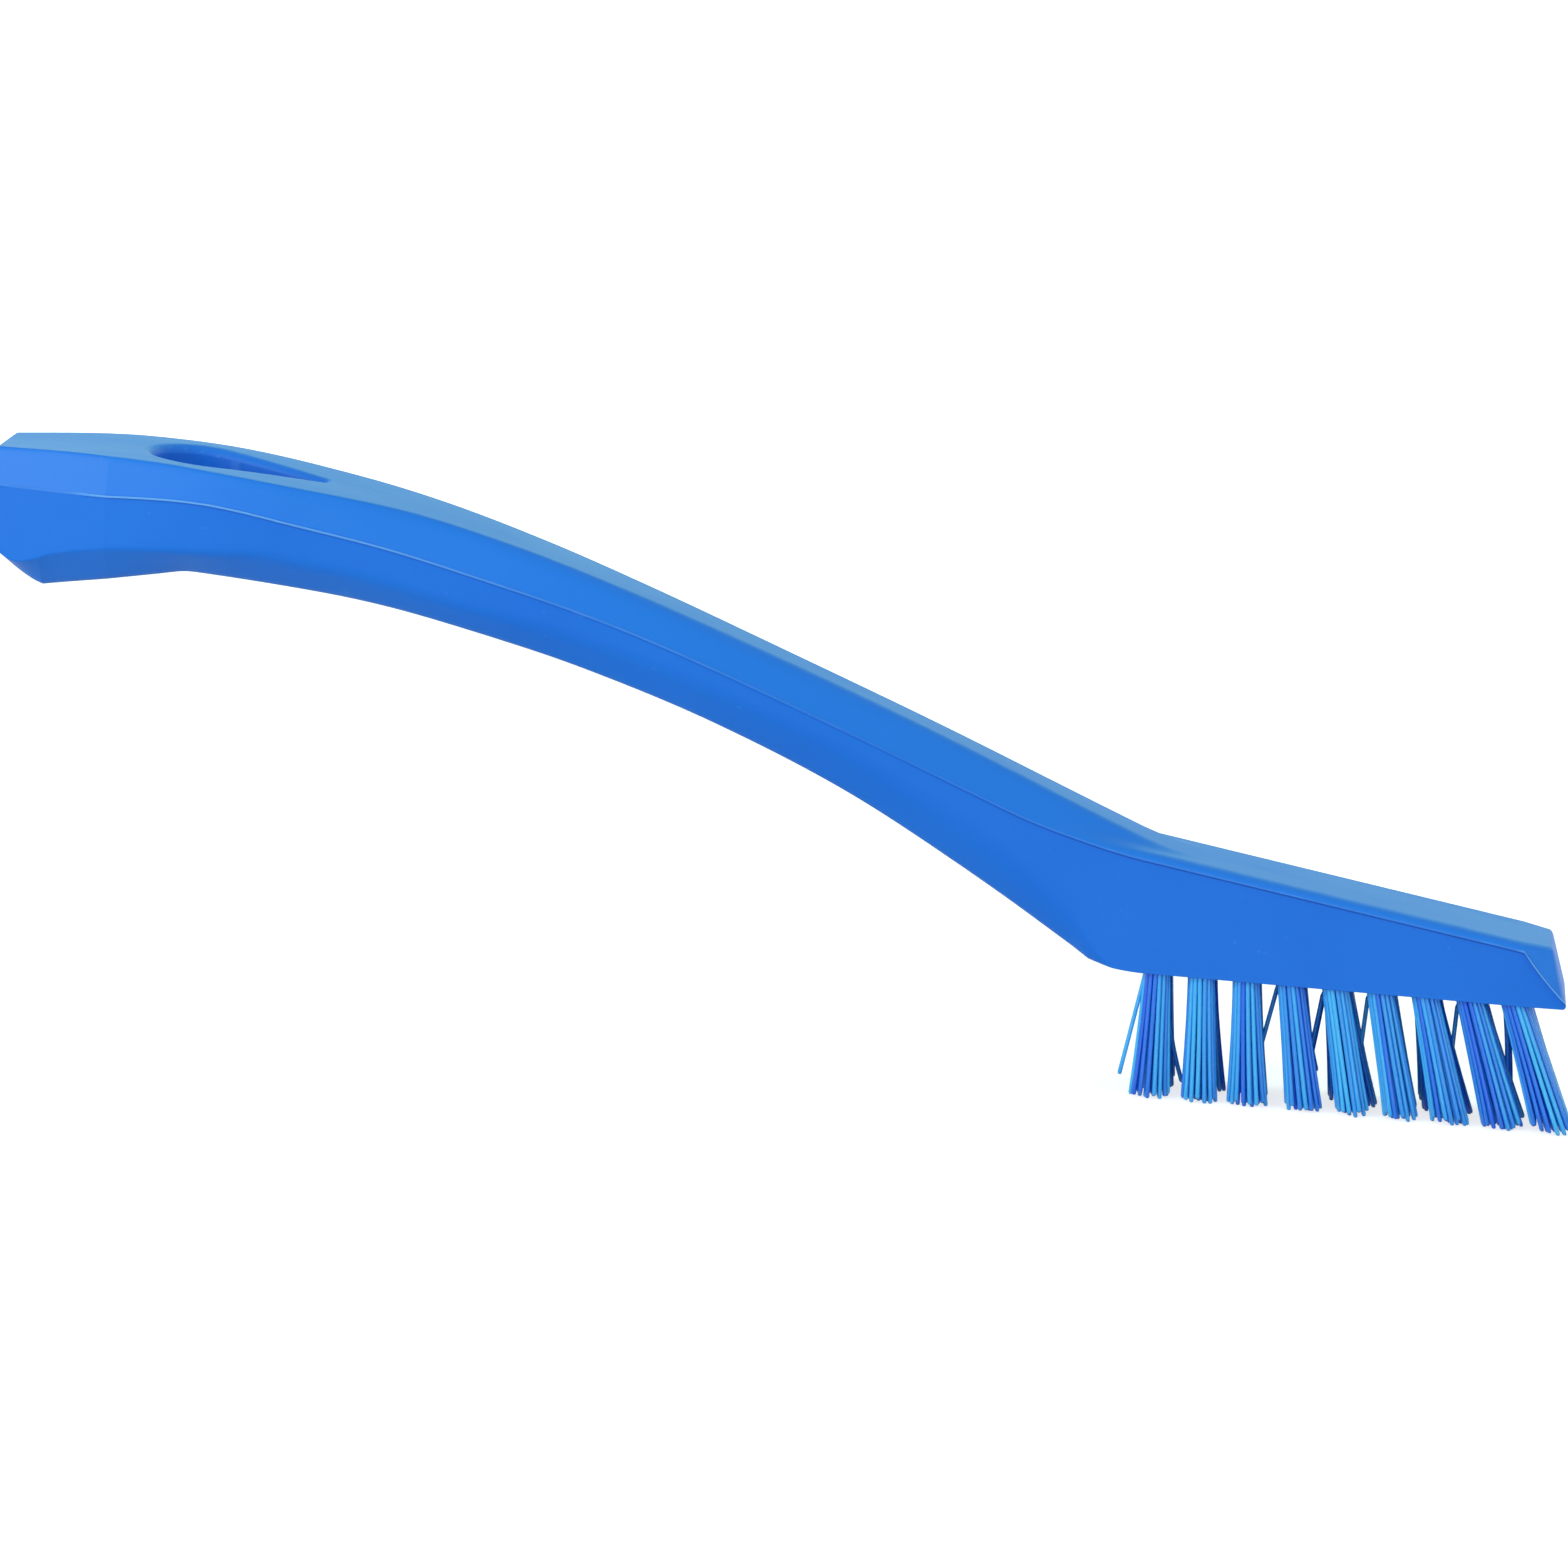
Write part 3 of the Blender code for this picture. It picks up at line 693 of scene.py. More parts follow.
def body_mesh():
    bm = bmesh.new()
    # Painted light around the flash: above 0 a painted highlight, below 0 painted shade
    flash = bm.verts.layers.float.new("flash")
    stations = body_stations()
    rings = [[bm.verts.new(point) for point in body_ring(*station)] for station in stations]
    join_rings(bm, rings)
    # From the parting line down: the flash's root, its edge painted pale as a highlight, its
    # foot painted dark as shade, and the point below over which that painted shade fades out
    parting = TOP_STEPS + ROUND_STEPS + SHOULDER_STEPS
    foot = parting + len(LIP_POINTS)
    close = foot + 1
    for ring, (along, _) in zip(rings, stations):
        pale = straight(FLASH_HIGHLIGHT_SHARES, along / HANDLE_LENGTH)
        painted_shade = straight(SEAM_SHADE_SHARES, along / HANDLE_LENGTH)
        for place in range(parting + 1, foot):
            ring[place][flash] = ring[-place][flash] = pale
        ring[foot][flash] = ring[-foot][flash] = -painted_shade
    for ring in (rings[0], rings[-1]):
        bm.faces.new(ring[: parting + 1] + ring[-parting:])
        for i in range(parting, close):
            bm.faces.new((ring[i], ring[i + 1], ring[-i - 1], ring[-i]))
        bm.faces.new(ring[close : len(ring) - close + 1])
    return finish_mesh(bm, "moulded_body")


def slot_outline(out):
    """The teardrop as places, sides and rim sizes: two arcs and their tangents."""
    wide = SLOT_WIDE_RADIUS + SLOT_WIDE_RIM * out
    narrow = SLOT_NARROW_RADIUS + SLOT_NARROW_RIM * out
    wide_centre = SLOT_START + SLOT_WIDE_RADIUS
    narrow_centre = SLOT_START + SLOT_LENGTH - SLOT_NARROW_RADIUS
    tangent = math.acos((wide - narrow) / (narrow_centre - wide_centre))
    outline = []
    for i in range(SLOT_NARROW_STEPS + 1):
        angle = between(-tangent, tangent, i / SLOT_NARROW_STEPS)
        place = (narrow_centre + narrow * math.cos(angle), narrow * math.sin(angle))
        outline.append((*place, SLOT_NARROW_RIM))
    tangent_points = (outline[-1], outline[0])
    wide_points = []
    for i in range(SLOT_WIDE_STEPS + 1):
        angle = between(tangent, 2 * math.pi - tangent, i / SLOT_WIDE_STEPS)
        place = (wide_centre + wide * math.cos(angle), wide * math.sin(angle))
        wide_points.append((*place, SLOT_WIDE_RIM))
    outline += run_between(tangent_points[0], wide_points[0], SLOT_NARROW_STEPS)
    outline += wide_points
    outline += run_between(wide_points[-1], tangent_points[1], SLOT_NARROW_STEPS)
    return outline


def slot_cutter_mesh():
    """The hanging slot, whose rims are rounded along the curved surfaces."""
    flare = []
    for i in range(1, RIM_STEPS + 1):
        angle = math.pi / 2 * i / RIM_STEPS
        flare.append((1 - math.sin(angle), 1 - math.cos(angle)))
    first_out, first_depth = flare[0]
    rim_slope = first_depth / (1 - first_out)
    flare = [(1 + OVERRUN_SHARE, -OVERRUN_SHARE * rim_slope)] + flare
    rings = []
    for out, depth in flare:
        outline = slot_outline(out)
        rings.append([world(a, s, ridge_height(a) - depth * rim) for a, s, rim in outline])
    for out, depth in reversed(flare):
        outline = slot_outline(out)
        rings.append([world(a, s, soft_underside(a) + depth * rim) for a, s, rim in outline])
    lift = Vector((0, 0, OVERRUN))
    rings.insert(0, [point + lift for point in rings[0]])
    rings.append([point - lift for point in rings[-1]])
    bm = bmesh.new()
    rings = [[bm.verts.new(point) for point in ring] for ring in rings]
    join_rings(bm, rings)
    bm.faces.new(rings[0])
    bm.faces.new(rings[-1])
    return finish_mesh(bm, "hanging_slot_cutter")


# Tufts


def fan_angle(column):
    return between(FAN_FIRST, FAN_LAST, column / (COLUMNS - 1))


def tuft_frame(row, column):
    """The tuft's own axes at the mouth of its hole, found from its anchor."""
    low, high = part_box(f"anchor_r{row + 1}_c{column + 1}")
    out = row - (ROWS - 1) / 2
    up_hole = Vector((-math.tan(fan_angle(column)), -out * math.tan(ROW_SPLAY), 1)).normalized()
    across = up_hole.cross(Vector((1, 0, 0))).normalized()
    forward = across.cross(up_hole)
    made = Matrix((forward, across, up_hole)).transposed().to_4x4()
    made.translation = (low + high) / 2 - up_hole * ANCHOR_DEPTH
    return made


def tuft_places():
    return [(row, column) for column in range(COLUMNS) for row in range(ROWS)]


def pockets_cutter_mesh():
    """The pocket that each anchor has bitten into the walls of its hole."""
    bm = bmesh.new()
    size = (ANCHOR_WIDTH, ANCHOR_THICKNESS, ANCHOR_HEIGHT)
    scale = Matrix.Diagonal((*[length + 2 * CLEARANCE for length in size], 1))
    for row, column in tuft_places():
        pocket = tuft_frame(row, column) @ Matrix.Translation((0, 0, ANCHOR_DEPTH))
        bmesh.ops.create_cube(bm, size=1, matrix=pocket @ scale)
    return finish_mesh(bm, "anchor_pockets_cutter")


def holes_cutter_mesh():
    """The drilled holes."""
    bm = bmesh.new()
    for row, column in tuft_places():
        made = tuft_frame(row, column)
        bmesh.ops.create_cone(
            bm,
            cap_ends=True,
            segments=HOLE_SIDES,
            radius1=HOLE_DIAMETER / 2,
            radius2=HOLE_DIAMETER / 2,
            depth=HOLE_DEPTH + OVERRUN,
            matrix=made @ Matrix.Translation((0, 0, (HOLE_DEPTH - OVERRUN) / 2)),
        )
    return finish_mesh(bm, "tuft_holes_cutter")


# Objects and materials


def new_object(mesh, name, material):
    made = bpy.data.objects.new(name, mesh)
    bpy.context.scene.collection.objects.link(made)
    if material:
        mesh.materials.append(material)
    return made


def cut(piece, meshes):
    """Cuts the meshes out of the piece and leaves no modifier on it."""
    cutters = [new_object(mesh, mesh.name, None) for mesh in meshes]
    for cutter in cutters:
        modifier = piece.modifiers.new(cutter.name, "BOOLEAN")
        modifier.operation = "DIFFERENCE"
        modifier.solver = "EXACT"
        modifier.object = cutter
    graph = bpy.context.evaluated_depsgraph_get()
    made = bpy.data.meshes.new_from_object(piece.evaluated_get(graph))
    piece.modifiers.clear()
    piece.data = made
    for cutter in cutters:
        bpy.data.objects.remove(cutter, do_unlink=True)


RANGE_SLOTS = ("From Min", "From Max", "To Min", "To Max")
# A Mix node's factor and colours have the same names as its other sockets, so
# they are found by number
MIX_SLOTS = (0, 6, 7)
MIX_RESULT = 2


class Nodes:
    """A short way to write a material's node tree."""

    def __init__(self, name):
        self.material = bpy.data.materials.new(name)
        self.material.use_nodes = True
        self.tree = self.material.node_tree
        self.shader = self.tree.nodes["Principled BSDF"]
        self.place = self.add("ShaderNodeTexCoord").outputs["Object"]

    def add(self, kind, **settings):
        node = self.tree.nodes.new(kind)
        for key, value in settings.items():
            setattr(node, key, value)
        return node

    def link(self, source, target):
        self.tree.links.new(source, target)

    def stretched(self, scale):
        node = self.add("ShaderNodeMapping")
        node.inputs["Scale"].default_value = scale
        self.link(self.place, node.inputs["Vector"])
        return node.outputs["Vector"]

    def noise(self, scale, detail=2.0, roughness=0.5, place=None):
        node = self.add("ShaderNodeTexNoise")
        node.inputs["Scale"].default_value = scale
        node.inputs["Detail"].default_value = detail
        node.inputs["Roughness"].default_value = roughness
        self.link(place or self.place, node.inputs["Vector"])
        return node.outputs["Fac"]

    def math(self, operation, *values):
        node = self.add("ShaderNodeMath", operation=operation)
        for slot, value in zip(node.inputs, values):
            if isinstance(value, (int, float)):
                slot.default_value = value
            else:
                self.link(value, slot)
        return node.outputs["Value"]

    def range(self, value, low, high, to_low, to_high):
        node = self.add("ShaderNodeMapRange")
        self.link(value, node.inputs["Value"])
        for key, number in zip(RANGE_SLOTS, (low, high, to_low, to_high)):
            node.inputs[key].default_value = number
        return node.outputs["Result"]

    def mix(self, share, first, second):
        node = self.add("ShaderNodeMix", data_type="RGBA")
        for place, value in zip(MIX_SLOTS, (share, first, second)):
            if isinstance(value, tuple):
                node.inputs[place].default_value = value
            else:
                self.link(value, node.inputs[place])
        return node.outputs[MIX_RESULT]

    def bump(self, height, distance, strength, under=None):
        node = self.add("ShaderNodeBump")
        node.inputs["Strength"].default_value = strength
        node.inputs["Distance"].default_value = distance
        self.link(height, node.inputs["Height"])
        if under:
            self.link(under, node.inputs["Normal"])
        return node.outputs["Normal"]


PLASTIC_BLUE = (0.004, 0.150, 0.750, 1.0)
PLASTIC_LIGHT = (0.006, 0.164, 0.775, 1.0)
# Dust, and wear on convex edges that is also a painted highlight along them
PLASTIC_DUST_WEAR_AND_HIGHLIGHT = (0.025, 0.210, 0.800, 1.0)
# A painted sheen for the faces that look up
PLASTIC_PAINTED_SHEEN = (0.009, 0.190, 0.800, 1.0)
# A painted highlight along the flash
PLASTIC_PAINTED_HIGHLIGHT = (0.180, 0.480, 0.980, 1.0)
# Painted shade under the flash
PLASTIC_PAINTED_SHADE = (0.001, 0.070, 0.460, 1.0)
# The upward slopes between which a face turns to its painted sheen colour, and how far
SHEEN_SLOPES = (0.06, 0.26)
SHEEN_SHARE = 0.85
GRAIN_DEPTH = 0.000012
STREAK_DEPTH = 0.00010


def plastic_material():
    """Satin moulded polypropylene with a fine grain, soft clouds, dust and edge wear, and
    painted light: a sheen on upward faces, a highlight along convex edges and the flash, and
    shade under the flash.
    """
    nodes = Nodes("moulded_plastic_look")
    shader = nodes.shader
    clouds = nodes.noise(38.0, detail=3.0, roughness=0.55)
    drawn_out = nodes.stretched((0.16, 1.0, 1.0))
    streaks = nodes.noise(70.0, detail=4.0, roughness=0.6, place=drawn_out)
    grain = nodes.noise(2600.0, detail=2.0, roughness=0.6)
    specks = nodes.noise(900.0, detail=1.0)
    long_drawn = nodes.stretched((0.05, 1.0, 1.0))
    scratches = nodes.noise(420.0, detail=3.0, roughness=0.7, place=long_drawn)
    colour = nodes.mix(nodes.range(clouds, 0.35, 0.65, 0.0, 1.0), PLASTIC_BLUE, PLASTIC_LIGHT)
    surface = nodes.add("ShaderNodeNewGeometry").outputs
    upright = nodes.add("ShaderNodeSeparateXYZ")
    nodes.link(surface["Normal"], upright.inputs["Vector"])
    # Faces that look up are painted a little paler and greener than the sides: a painted sheen
    upper = nodes.range(upright.outputs["Z"], *SHEEN_SLOPES, 0.0, SHEEN_SHARE)
    colour = nodes.mix(upper, colour, PLASTIC_PAINTED_SHEEN)
    # Dust specks, and wear on convex edges that also paints a highlight along them
    dusty = nodes.range(specks, 0.74, 0.80, 0.0, 0.5)
    edge = surface["Pointiness"]
    dust_wear_and_highlight = nodes.math("MAXIMUM", nodes.range(edge, 0.53, 0.60, 0.0, 0.35), dusty)
    colour = nodes.mix(dust_wear_and_highlight, colour, PLASTIC_DUST_WEAR_AND_HIGHLIGHT)
    # The flash's faces are painted pale as a highlight, and the foot under it painted dark as
    # shade
    flash = nodes.add("ShaderNodeAttribute", attribute_name="flash").outputs["Fac"]
    colour = nodes.mix(nodes.range(flash, 0.0, 1.0, 0.0, 1.0), colour, PLASTIC_PAINTED_HIGHLIGHT)
    colour = nodes.mix(nodes.range(flash, 0.0, -1.0, 0.0, 1.0), colour, PLASTIC_PAINTED_SHADE)
    nodes.link(colour, shader.inputs["Base Color"])
    rough = nodes.range(streaks, 0.3, 0.7, 0.46, 0.54)
    rough = nodes.math("ADD", rough, nodes.range(scratches, 0.60, 0.75, 0.0, 0.07))
    nodes.link(rough, shader.inputs["Roughness"])
    shader.inputs["IOR"].default_value = 1.49
    shader.inputs["Specular IOR Level"].default_value = 0.3
    normal = nodes.bump(grain, GRAIN_DEPTH, 0.6)
    normal = nodes.bump(streaks, STREAK_DEPTH, 0.25, under=normal)
    nodes.link(normal, shader.inputs["Normal"])
    return nodes.material


FILAMENT_BLUE = (0.001, 0.105, 0.800, 1.0)
FILAMENT_LIGHT = (0.050, 0.490, 0.985, 1.0)
FILAMENT_TIP = (0.160, 0.600, 0.980, 1.0)
# How far along a filament its paler tip starts, and how pale it gets
TIP_START = 0.90
TIP_SHARE = 0.55
DRAW_DEPTH = 0.00002


def filament_material():
    """Extruded filament: glossy, with each strand a little lighter or darker."""
    nodes = Nodes("bristle_filament_look")
    shader = nodes.shader
    tone = nodes.add("ShaderNodeAttribute", attribute_name="tone").outputs["Fac"]
    reach = nodes.add("ShaderNodeAttribute", attribute_name="reach").outputs["Fac"]
    draw = nodes.noise(900.0, detail=2.0, place=nodes.stretched((1.0, 1.0, 0.08)))
    colour = nodes.mix(tone, FILAMENT_BLUE, FILAMENT_LIGHT)
    tip = nodes.range(reach, TIP_START, 1.0, 0.0, TIP_SHARE)
    colour = nodes.mix(tip, colour, FILAMENT_TIP)
    nodes.link(colour, shader.inputs["Base Color"])
    nodes.link(nodes.range(draw, 0.3, 0.7, 0.22, 0.36), shader.inputs["Roughness"])
    shader.inputs["IOR"].default_value = 1.53
    nodes.link(nodes.bump(draw, DRAW_DEPTH, 0.35), shader.inputs["Normal"])
    return nodes.material


STEEL_DARK = (0.50, 0.50, 0.48, 1.0)
STEEL_BRIGHT = (0.68, 0.68, 0.66, 1.0)
WIRE_DEPTH = 0.00001


def steel_material():
    """Drawn flat wire, brushed along its length."""
    nodes = Nodes("anchor_steel_look")
    shader = nodes.shader
    drawn = nodes.noise(2400.0, detail=3.0, place=nodes.stretched((0.05, 1.0, 1.0)))
    colour = nodes.mix(drawn, STEEL_DARK, STEEL_BRIGHT)
    nodes.link(colour, shader.inputs["Base Color"])
    nodes.link(nodes.range(drawn, 0.3, 0.7, 0.25, 0.42), shader.inputs["Roughness"])
    shader.inputs["Metallic"].default_value = 1.0
    nodes.link(nodes.bump(drawn, WIRE_DEPTH, 0.5), shader.inputs["Normal"])
    return nodes.material


def make_body(material):
    body = new_object(body_mesh(), "moulded_body", material)
    cut(body, (slot_cutter_mesh(), holes_cutter_mesh(), pockets_cutter_mesh()))
    body.data.shade_smooth()
    body.data.set_sharp_from_angle(angle=SHARP_ANGLE)
    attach(body, "root")
    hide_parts("handle_block")


def packed_disc(rng):
    """Strand places in a unit disc, in rings that are a little disturbed."""
    points = []
    for count, radius in PACK_RINGS:
        turn = rng.uniform(0, 1)
        for i in range(count):
            angle = 2 * math.pi * (i + turn + rng.gauss(0, PACK_JITTER)) / count
            points.append(Vector((math.cos(angle), math.sin(angle))) * radius)
    return points


def add_strand(bm, tone_layer, reach_layer, path, tone):
    """A round strand along a path, with a slightly rounded tip."""
    radius = STRAND_DIAMETER / 2
    direction = (path[-1] - path[-2]).normalized()
    rings = []
    stops = [(point, 1.0) for point in path[:-1]]
    stops += [(path[-1] - direction * radius * back, share) for back, share in TIP_ROUND]
    for i, (point, share) in enumerate(stops):
        ahead = stops[min(i + 1, len(stops) - 1)][0] - stops[max(i - 1, 0)][0]
        turn = ahead.to_track_quat("Z", "X").to_matrix()
        ring = []
        for k in range(STRAND_SIDES):
            angle = 2 * math.pi * k / STRAND_SIDES
            offset = Vector((math.cos(angle), math.sin(angle), 0)) * radius * share
            vert = bm.verts.new(point + turn @ offset)
            vert[tone_layer] = tone
            vert[reach_layer] = i / (len(stops) - 1)
            ring.append(vert)
        rings.append(ring)
    join_rings(bm, rings)
    bm.faces.new(rings[0])
    bm.faces.new(rings[-1])


# Each tuft's lean toward the toe and how far it spreads from root to tip, by row
# from the near side and by column from the heel
LEAN_DEGREES = (
    (0.8, 3.6, 5.2, 10.4, 12.6, 14.0, 16.0, 19.2, 21.5),
    (2.7, 4.9, 5.0, 10.0, 12.5, 13.5, 15.0, 20.0, 21.0),
    (2.4, 4.0, 4.3, 8.5, 11.5, 12.5, 12.5, 18.0, 19.5),
)
TIP_SPREAD_SHARES = (
    (1.60, 1.42, 1.65, 1.48, 1.28, 1.35, 1.52, 1.60, 1.65),
    (1.50, 1.75, 1.60, 1.30, 2.00, 1.35, 2.00, 1.60, 1.50),
    (1.50, 1.60, 1.50, 1.30, 1.80, 1.35, 1.90, 1.40, 1.40),
)
# How much of a strand's way outward is a curve that starts straight
FLARE_SHARE = 0.35
# Single filaments that stand away from their tuft: row, column, the root's place
# in shares of its radius, the tip's shift along from the hole, the tip's height
# and the bow along
STRAYS = (
    (0, 0, (-0.95, -0.20), -0.0037, 0.0026, 0.0000),
    (1, 0, (0.90, -0.30), 0.0042, 0.0010, -0.0007),
    (1, 2, (0.90, -0.30), 0.0033, 0.0017, -0.0004),
    (1, 2, (0.95, 0.10), 0.0027, 0.0036, -0.0002),
    (1, 3, (-0.95, -0.20), -0.0037, 0.0035, 0.0000),
    (1, 4, (-0.90, -0.30), -0.0032, 0.0019, 0.0001),
    (1, 4, (-0.80, 0.40), -0.0028, 0.0022, 0.0001),
    (1, 4, (0.90, -0.20), 0.0048, 0.0002, -0.0001),
    (1, 4, (0.95, 0.20), 0.0043, 0.0006, -0.0002),
    (1, 5, (-0.95, -0.10), -0.0020, 0.0030, 0.0000),
    (1, 6, (0.95, -0.10), 0.0049, 0.0014, -0.0002),
    (1, 7, (-0.95, -0.20), -0.0017, 0.0031, 0.0000),
    (1, 8, (-0.90, -0.30), 0.0002, 0.0020, 0.0003),
    (1, 8, (-0.80, 0.40), 0.0008, 0.0017, 0.0003),
    (2, 3, (0.90, 0.30), 0.0042, 0.0024, -0.0003),
    (2, 7, (0.90, 0.30), 0.0068, 0.0012, -0.0003),
)


def strand_path(made, offset, lean, spread, bow):
    """A path from inside the hole: straight down the lean, flaring by the spread."""
    root = made @ Vector((offset.x * ROOT_RADIUS, offset.y * ROOT_RADIUS, 0))
    path = [made @ Vector((offset.x * ROOT_RADIUS, offset.y * ROOT_RADIUS, ROOT_DEPTH))]
    for i in range(STRAND_STEPS):
        t = i / (STRAND_STEPS - 1)
        flare = spread * between(t, t * t, FLARE_SHARE)
        path.append(root + lean * t + flare + bow * 4 * t * (1 - t))
    return path


def tuft_mesh(row, column, name):
    rng = random.Random(FIRST_SEED + row * COLUMNS + column)
    made = tuft_frame(row, column)
    mouth = made.translation
    slope = math.tan(math.radians(LEAN_DEGREES[row][column]))
    out = (row - (ROWS - 1) / 2) * math.tan(ROW_SPLAY)
    lift = STRAND_DIAMETER / 2 * (math.hypot(slope, out) + TIP_SLOPE)
    wider = TIP_SPREAD_SHARES[row][column] - 1
    bm = bmesh.new()
    tone_layer = bm.verts.layers.float.new("tone")
    reach_layer = bm.verts.layers.float.new("reach")
    for offset in packed_disc(rng):
        root_height = (made @ Vector((offset.x * ROOT_RADIUS, offset.y * ROOT_RADIUS, 0))).z
        drop = root_height - lift - TIP_RAGGED * rng.random() ** TIP_RAGGED_POWER
        spread = Vector((offset.x * wider, offset.y * (TIP_SPREAD_ACROSS - 1), 0)) * ROOT_RADIUS
        spread += Vector((rng.gauss(0, TIP_JITTER), rng.gauss(0, TIP_JITTER), 0))
        bow = Vector((rng.gauss(0, STRAND_BOW), rng.gauss(0, STRAND_BOW), 0))
        path = strand_path(made, offset, Vector((slope, out, -1)) * drop, spread, bow)
        add_strand(bm, tone_layer, reach_layer, path, rng.random())
    for stray_row, stray_column, place, along, height, bow in STRAYS:
        if (stray_row, stray_column) == (row, column):
            root_x = (made @ Vector((place[0] * ROOT_RADIUS, place[1] * ROOT_RADIUS, 0))).x
            lean = Vector((mouth.x + along - root_x, out * mouth.z, height - mouth.z))
            path = strand_path(made, Vector(place), lean, Vector(), Vector((bow, 0, 0)))
            add_strand(bm, tone_layer, reach_layer, path, rng.random())
    return finish_mesh(bm, name)


def make_tufts(material):
    for row, column in tuft_places():
        label = f"r{row + 1}_c{column + 1}"
        name = f"bristles_{label}"
        tuft = new_object(tuft_mesh(row, column, name), name, material)
        tuft.data.shade_smooth()
        tuft.data.set_sharp_from_angle(angle=STRAND_SHARP_ANGLE)
        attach(tuft, "root")
        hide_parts(f"tuft_{label}")


def finish_anchors(material):
    for name, node in frame["nodes"].items():
        if name.startswith("anchor_"):
            node.data.materials.clear()
            node.data.materials.append(material)


# Floor, light and camera


FLOOR_SIZE = 5.0
FLOOR_ALBEDO = 0.58
# The floor's own glow under the object, and how far from it the glow starts to
# rise and is white
FLOOR_GLOW = 0.74
FLOOR_NEAR = 0.22
FLOOR_FAR = 0.60
WORLD_LEVEL = 0.14


def white_rays(tree):
    """1 for the camera's own rays and for what metal and glass show, else 0."""
    path = tree.nodes.new("ShaderNodeLightPath")
    share = path.outputs["Is Camera Ray"]
    for name in ("Is Glossy Ray", "Is Transmission Ray"):
        either = tree.nodes.new("ShaderNodeMath")
        either.operation = "MAXIMUM"
        tree.links.new(share, either.inputs[0])
        tree.links.new(path.outputs[name], either.inputs[1])
        share = either.outputs[0]
    return share


def make_floor():
    bm = bmesh.new()
    bmesh.ops.create_grid(bm, x_segments=1, y_segments=1, size=FLOOR_SIZE)
    floor = new_object(finish_mesh(bm, "floor"), "floor", None)
    material = bpy.data.materials.new("pale_floor")
    material.use_nodes = True
    tree = material.node_tree
    tree.nodes.clear()
    diffuse = tree.nodes.new("ShaderNodeBsdfDiffuse")
    diffuse.inputs["Color"].default_value = (FLOOR_ALBEDO, FLOOR_ALBEDO, FLOOR_ALBEDO, 1.0)
    glow = tree.nodes.new("ShaderNodeEmission")
    # Away from the object, where the lamps' light falls off, the glow makes up for it
    place = tree.nodes.new("ShaderNodeTexCoord")
    distance = tree.nodes.new("ShaderNodeVectorMath")
    distance.operation = "LENGTH"
    tree.links.new(place.outputs["Object"], distance.inputs[0])
    whiter = tree.nodes.new("ShaderNodeMapRange")
    whiter.interpolation_type = "SMOOTHSTEP"
    for key, number in zip(RANGE_SLOTS, (FLOOR_NEAR, FLOOR_FAR, FLOOR_GLOW, 1.0)):
        whiter.inputs[key].default_value = number
    tree.links.new(distance.outputs["Value"], whiter.inputs["Value"])
    strength = tree.nodes.new("ShaderNodeMath")
    strength.operation = "MULTIPLY"
    tree.links.new(white_rays(tree), strength.inputs[0])
    tree.links.new(whiter.outputs["Result"], strength.inputs[1])
    tree.links.new(strength.outputs[0], glow.inputs["Strength"])
    both = tree.nodes.new("ShaderNodeAddShader")
    tree.links.new(diffuse.outputs[0], both.inputs[0])
    tree.links.new(glow.outputs[0], both.inputs[1])
    out = tree.nodes.new("ShaderNodeOutputMaterial")
    tree.links.new(both.outputs[0], out.inputs["Surface"])
    floor.data.materials.append(material)


def make_world():
    world_light = bpy.data.worlds.new("studio")
    bpy.context.scene.world = world_light
    world_light.use_nodes = True
    tree = world_light.node_tree
    background = tree.nodes["Background"]
    level = tree.nodes.new("ShaderNodeMapRange")
    level.inputs["To Min"].default_value = WORLD_LEVEL
    level.inputs["To Max"].default_value = 1.0
    tree.links.new(white_rays(tree), level.inputs["Value"])
    tree.links.new(level.outputs["Result"], background.inputs["Strength"])
    background.inputs["Color"].default_value = (1.0, 1.0, 1.0, 1.0)


LIGHT_AIM = (0.0, 0.0, 0.04)
WHITE = (1.0, 1.0, 1.0)
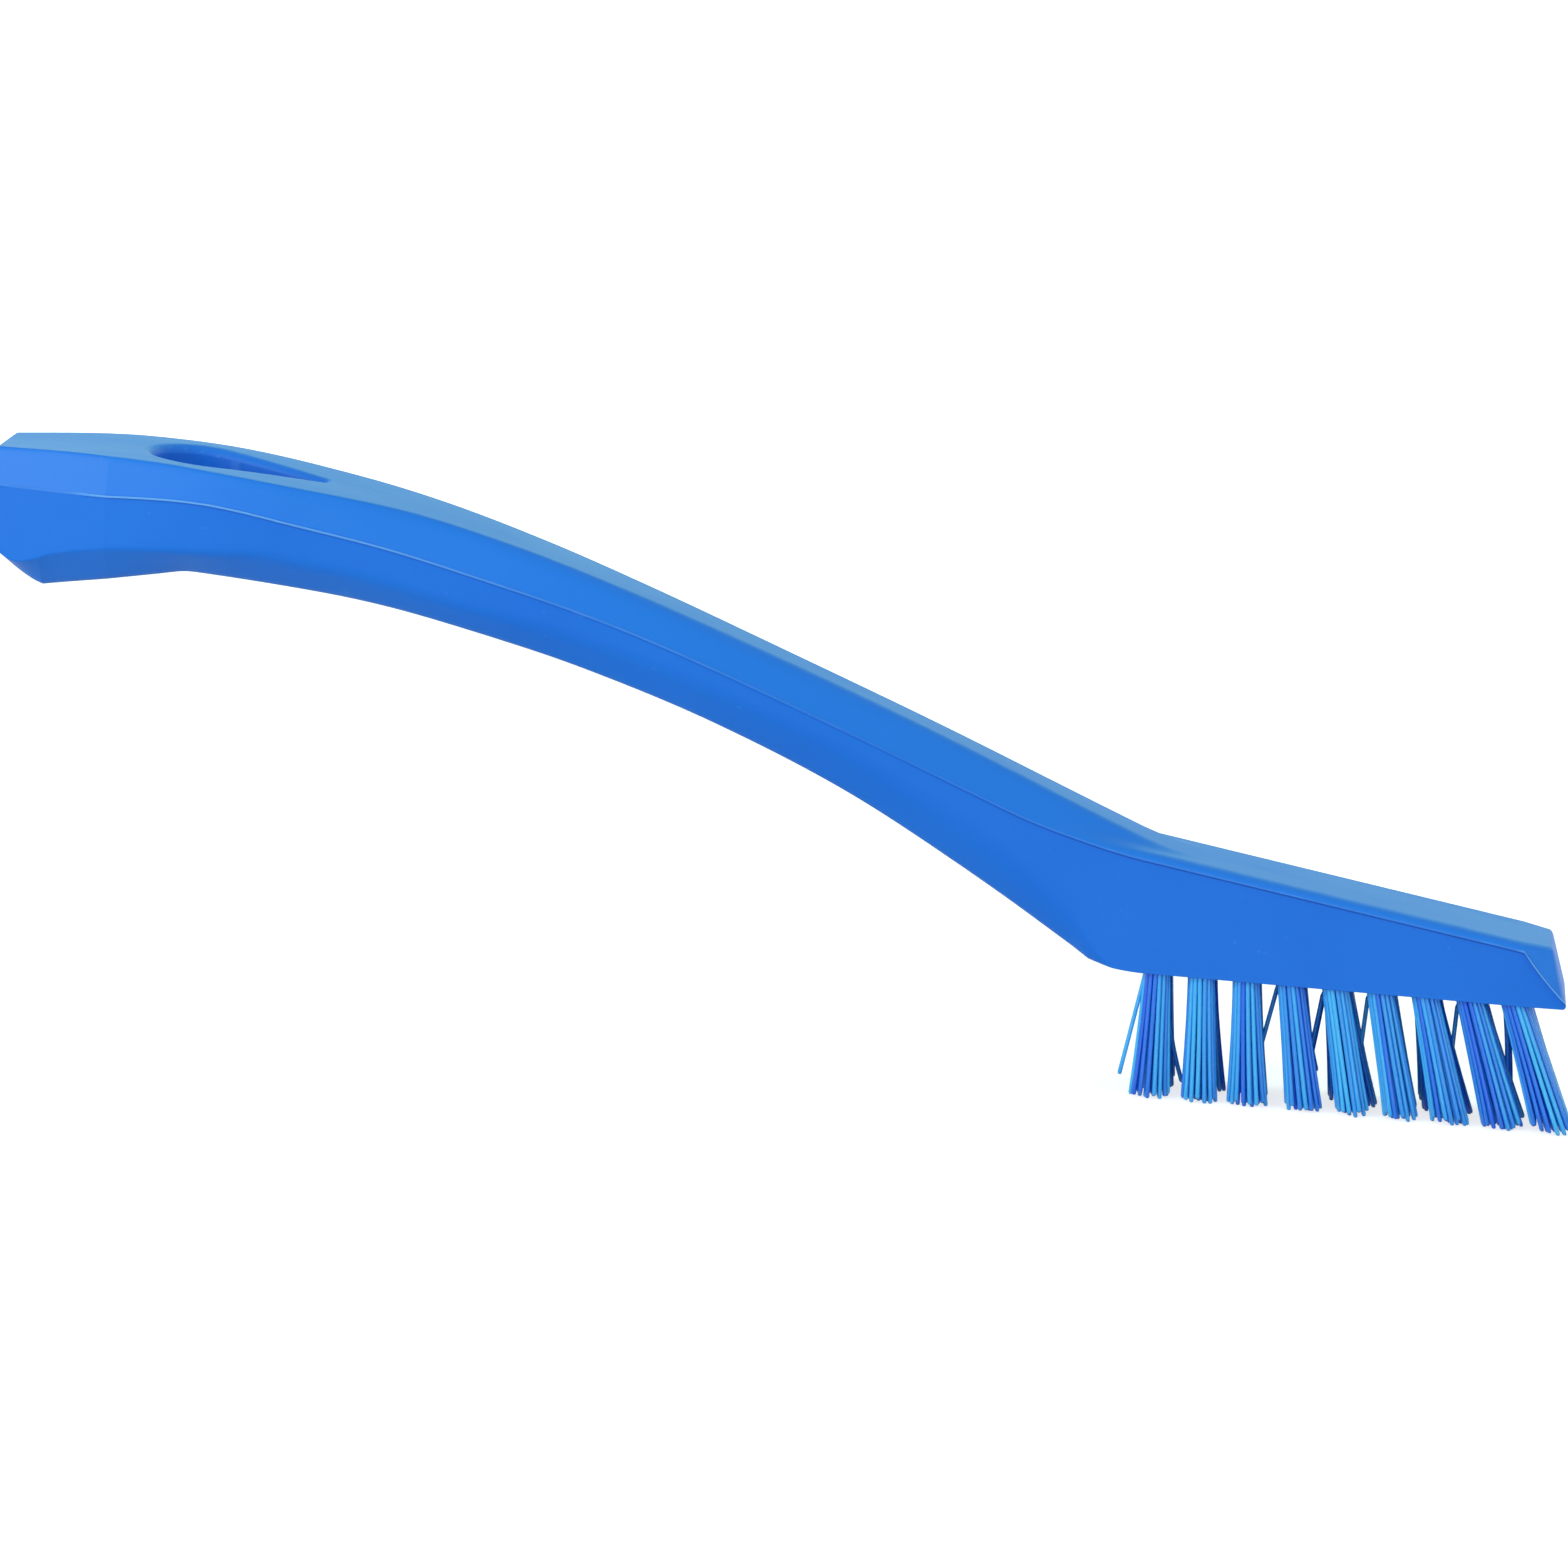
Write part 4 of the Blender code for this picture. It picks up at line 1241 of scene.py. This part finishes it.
# Each lamp's name, place, size, power and colour
LAMPS = (
    ("key", (-0.25, -1.2, 0.75), (0.9, 0.6), 3.2, (0.95, 1.0, 0.95)),
    ("left", (-0.95, -0.80, 0.42), (0.7, 0.6), 8.4, (0.95, 1.0, 0.88)),
    ("right", (0.95, -0.6, 0.55), (0.7, 0.7), 3.6, (0.78, 1.0, 0.90)),
    ("front", (0.1, -1.3, 0.10), (1.6, 0.18), 3.4, WHITE),
    ("top", (0.0, 0.0, 1.3), (1.2, 1.2), 3.0, (0.80, 1.0, 0.74)),
    ("rear_left", (-1.0, 0.85, 0.45), (0.7, 0.6), 3.2, WHITE),
    ("rear_right", (1.0, 0.85, 0.45), (0.7, 0.6), 3.2, WHITE),
    ("back", (0.05, 1.3, 0.75), (1.6, 0.7), 6.5, (0.25, 1.0, 0.42)),
)


def area_light(name, place, size, power, colour):
    data = bpy.data.lights.new(name, "AREA")
    data.shape = "RECTANGLE"
    data.size, data.size_y = size
    data.energy = power
    data.color = colour
    lamp = bpy.data.objects.new(name, data)
    bpy.context.scene.collection.objects.link(lamp)
    lamp.location = place
    lamp.rotation_mode = "QUATERNION"
    lamp.rotation_quaternion = (Vector(LIGHT_AIM) - Vector(place)).to_track_quat("-Z", "Y")


def make_lights():
    for lamp in LAMPS:
        area_light(*lamp)


# Fitted to the photo
CAMERA_AZIMUTH = math.radians(4.7)
CAMERA_ELEVATION = math.radians(11.8)
CAMERA_ROLL = math.radians(4.0)
CAMERA_DISTANCE = 0.8775
TARGET_ALONG = 0.1039
TARGET_HEIGHT = 0.03515
FOCAL_PIXELS = 6894.0
PHOTO_PIXELS = 1568
SENSOR_WIDTH_MM = 36.0


def make_camera():
    azimuth, elevation = CAMERA_AZIMUTH, CAMERA_ELEVATION
    flat = math.cos(elevation)
    back = Vector((math.sin(azimuth) * flat, -math.cos(azimuth) * flat, math.sin(elevation)))
    level = (-back).cross(Vector((0, 0, 1))).normalized()
    upright = level.cross(-back)
    right = math.cos(CAMERA_ROLL) * level + math.sin(CAMERA_ROLL) * upright
    up = -math.sin(CAMERA_ROLL) * level + math.cos(CAMERA_ROLL) * upright
    data = bpy.data.cameras.new("camera")
    data.sensor_width = SENSOR_WIDTH_MM
    data.lens = SENSOR_WIDTH_MM * FOCAL_PIXELS / PHOTO_PIXELS
    camera = bpy.data.objects.new("camera", data)
    bpy.context.scene.collection.objects.link(camera)
    matrix = Matrix((right, up, back)).transposed().to_4x4()
    target = Vector((cad_low.x + TARGET_ALONG, 0, TARGET_HEIGHT))
    matrix.translation = target + back * CAMERA_DISTANCE
    camera.matrix_world = matrix
    bpy.context.scene.camera = camera


make_camera()
make_body(plastic_material())
make_tufts(filament_material())
finish_anchors(steel_material())
make_floor()
make_world()
make_lights()
bpy.context.scene.view_settings.view_transform = "Standard"
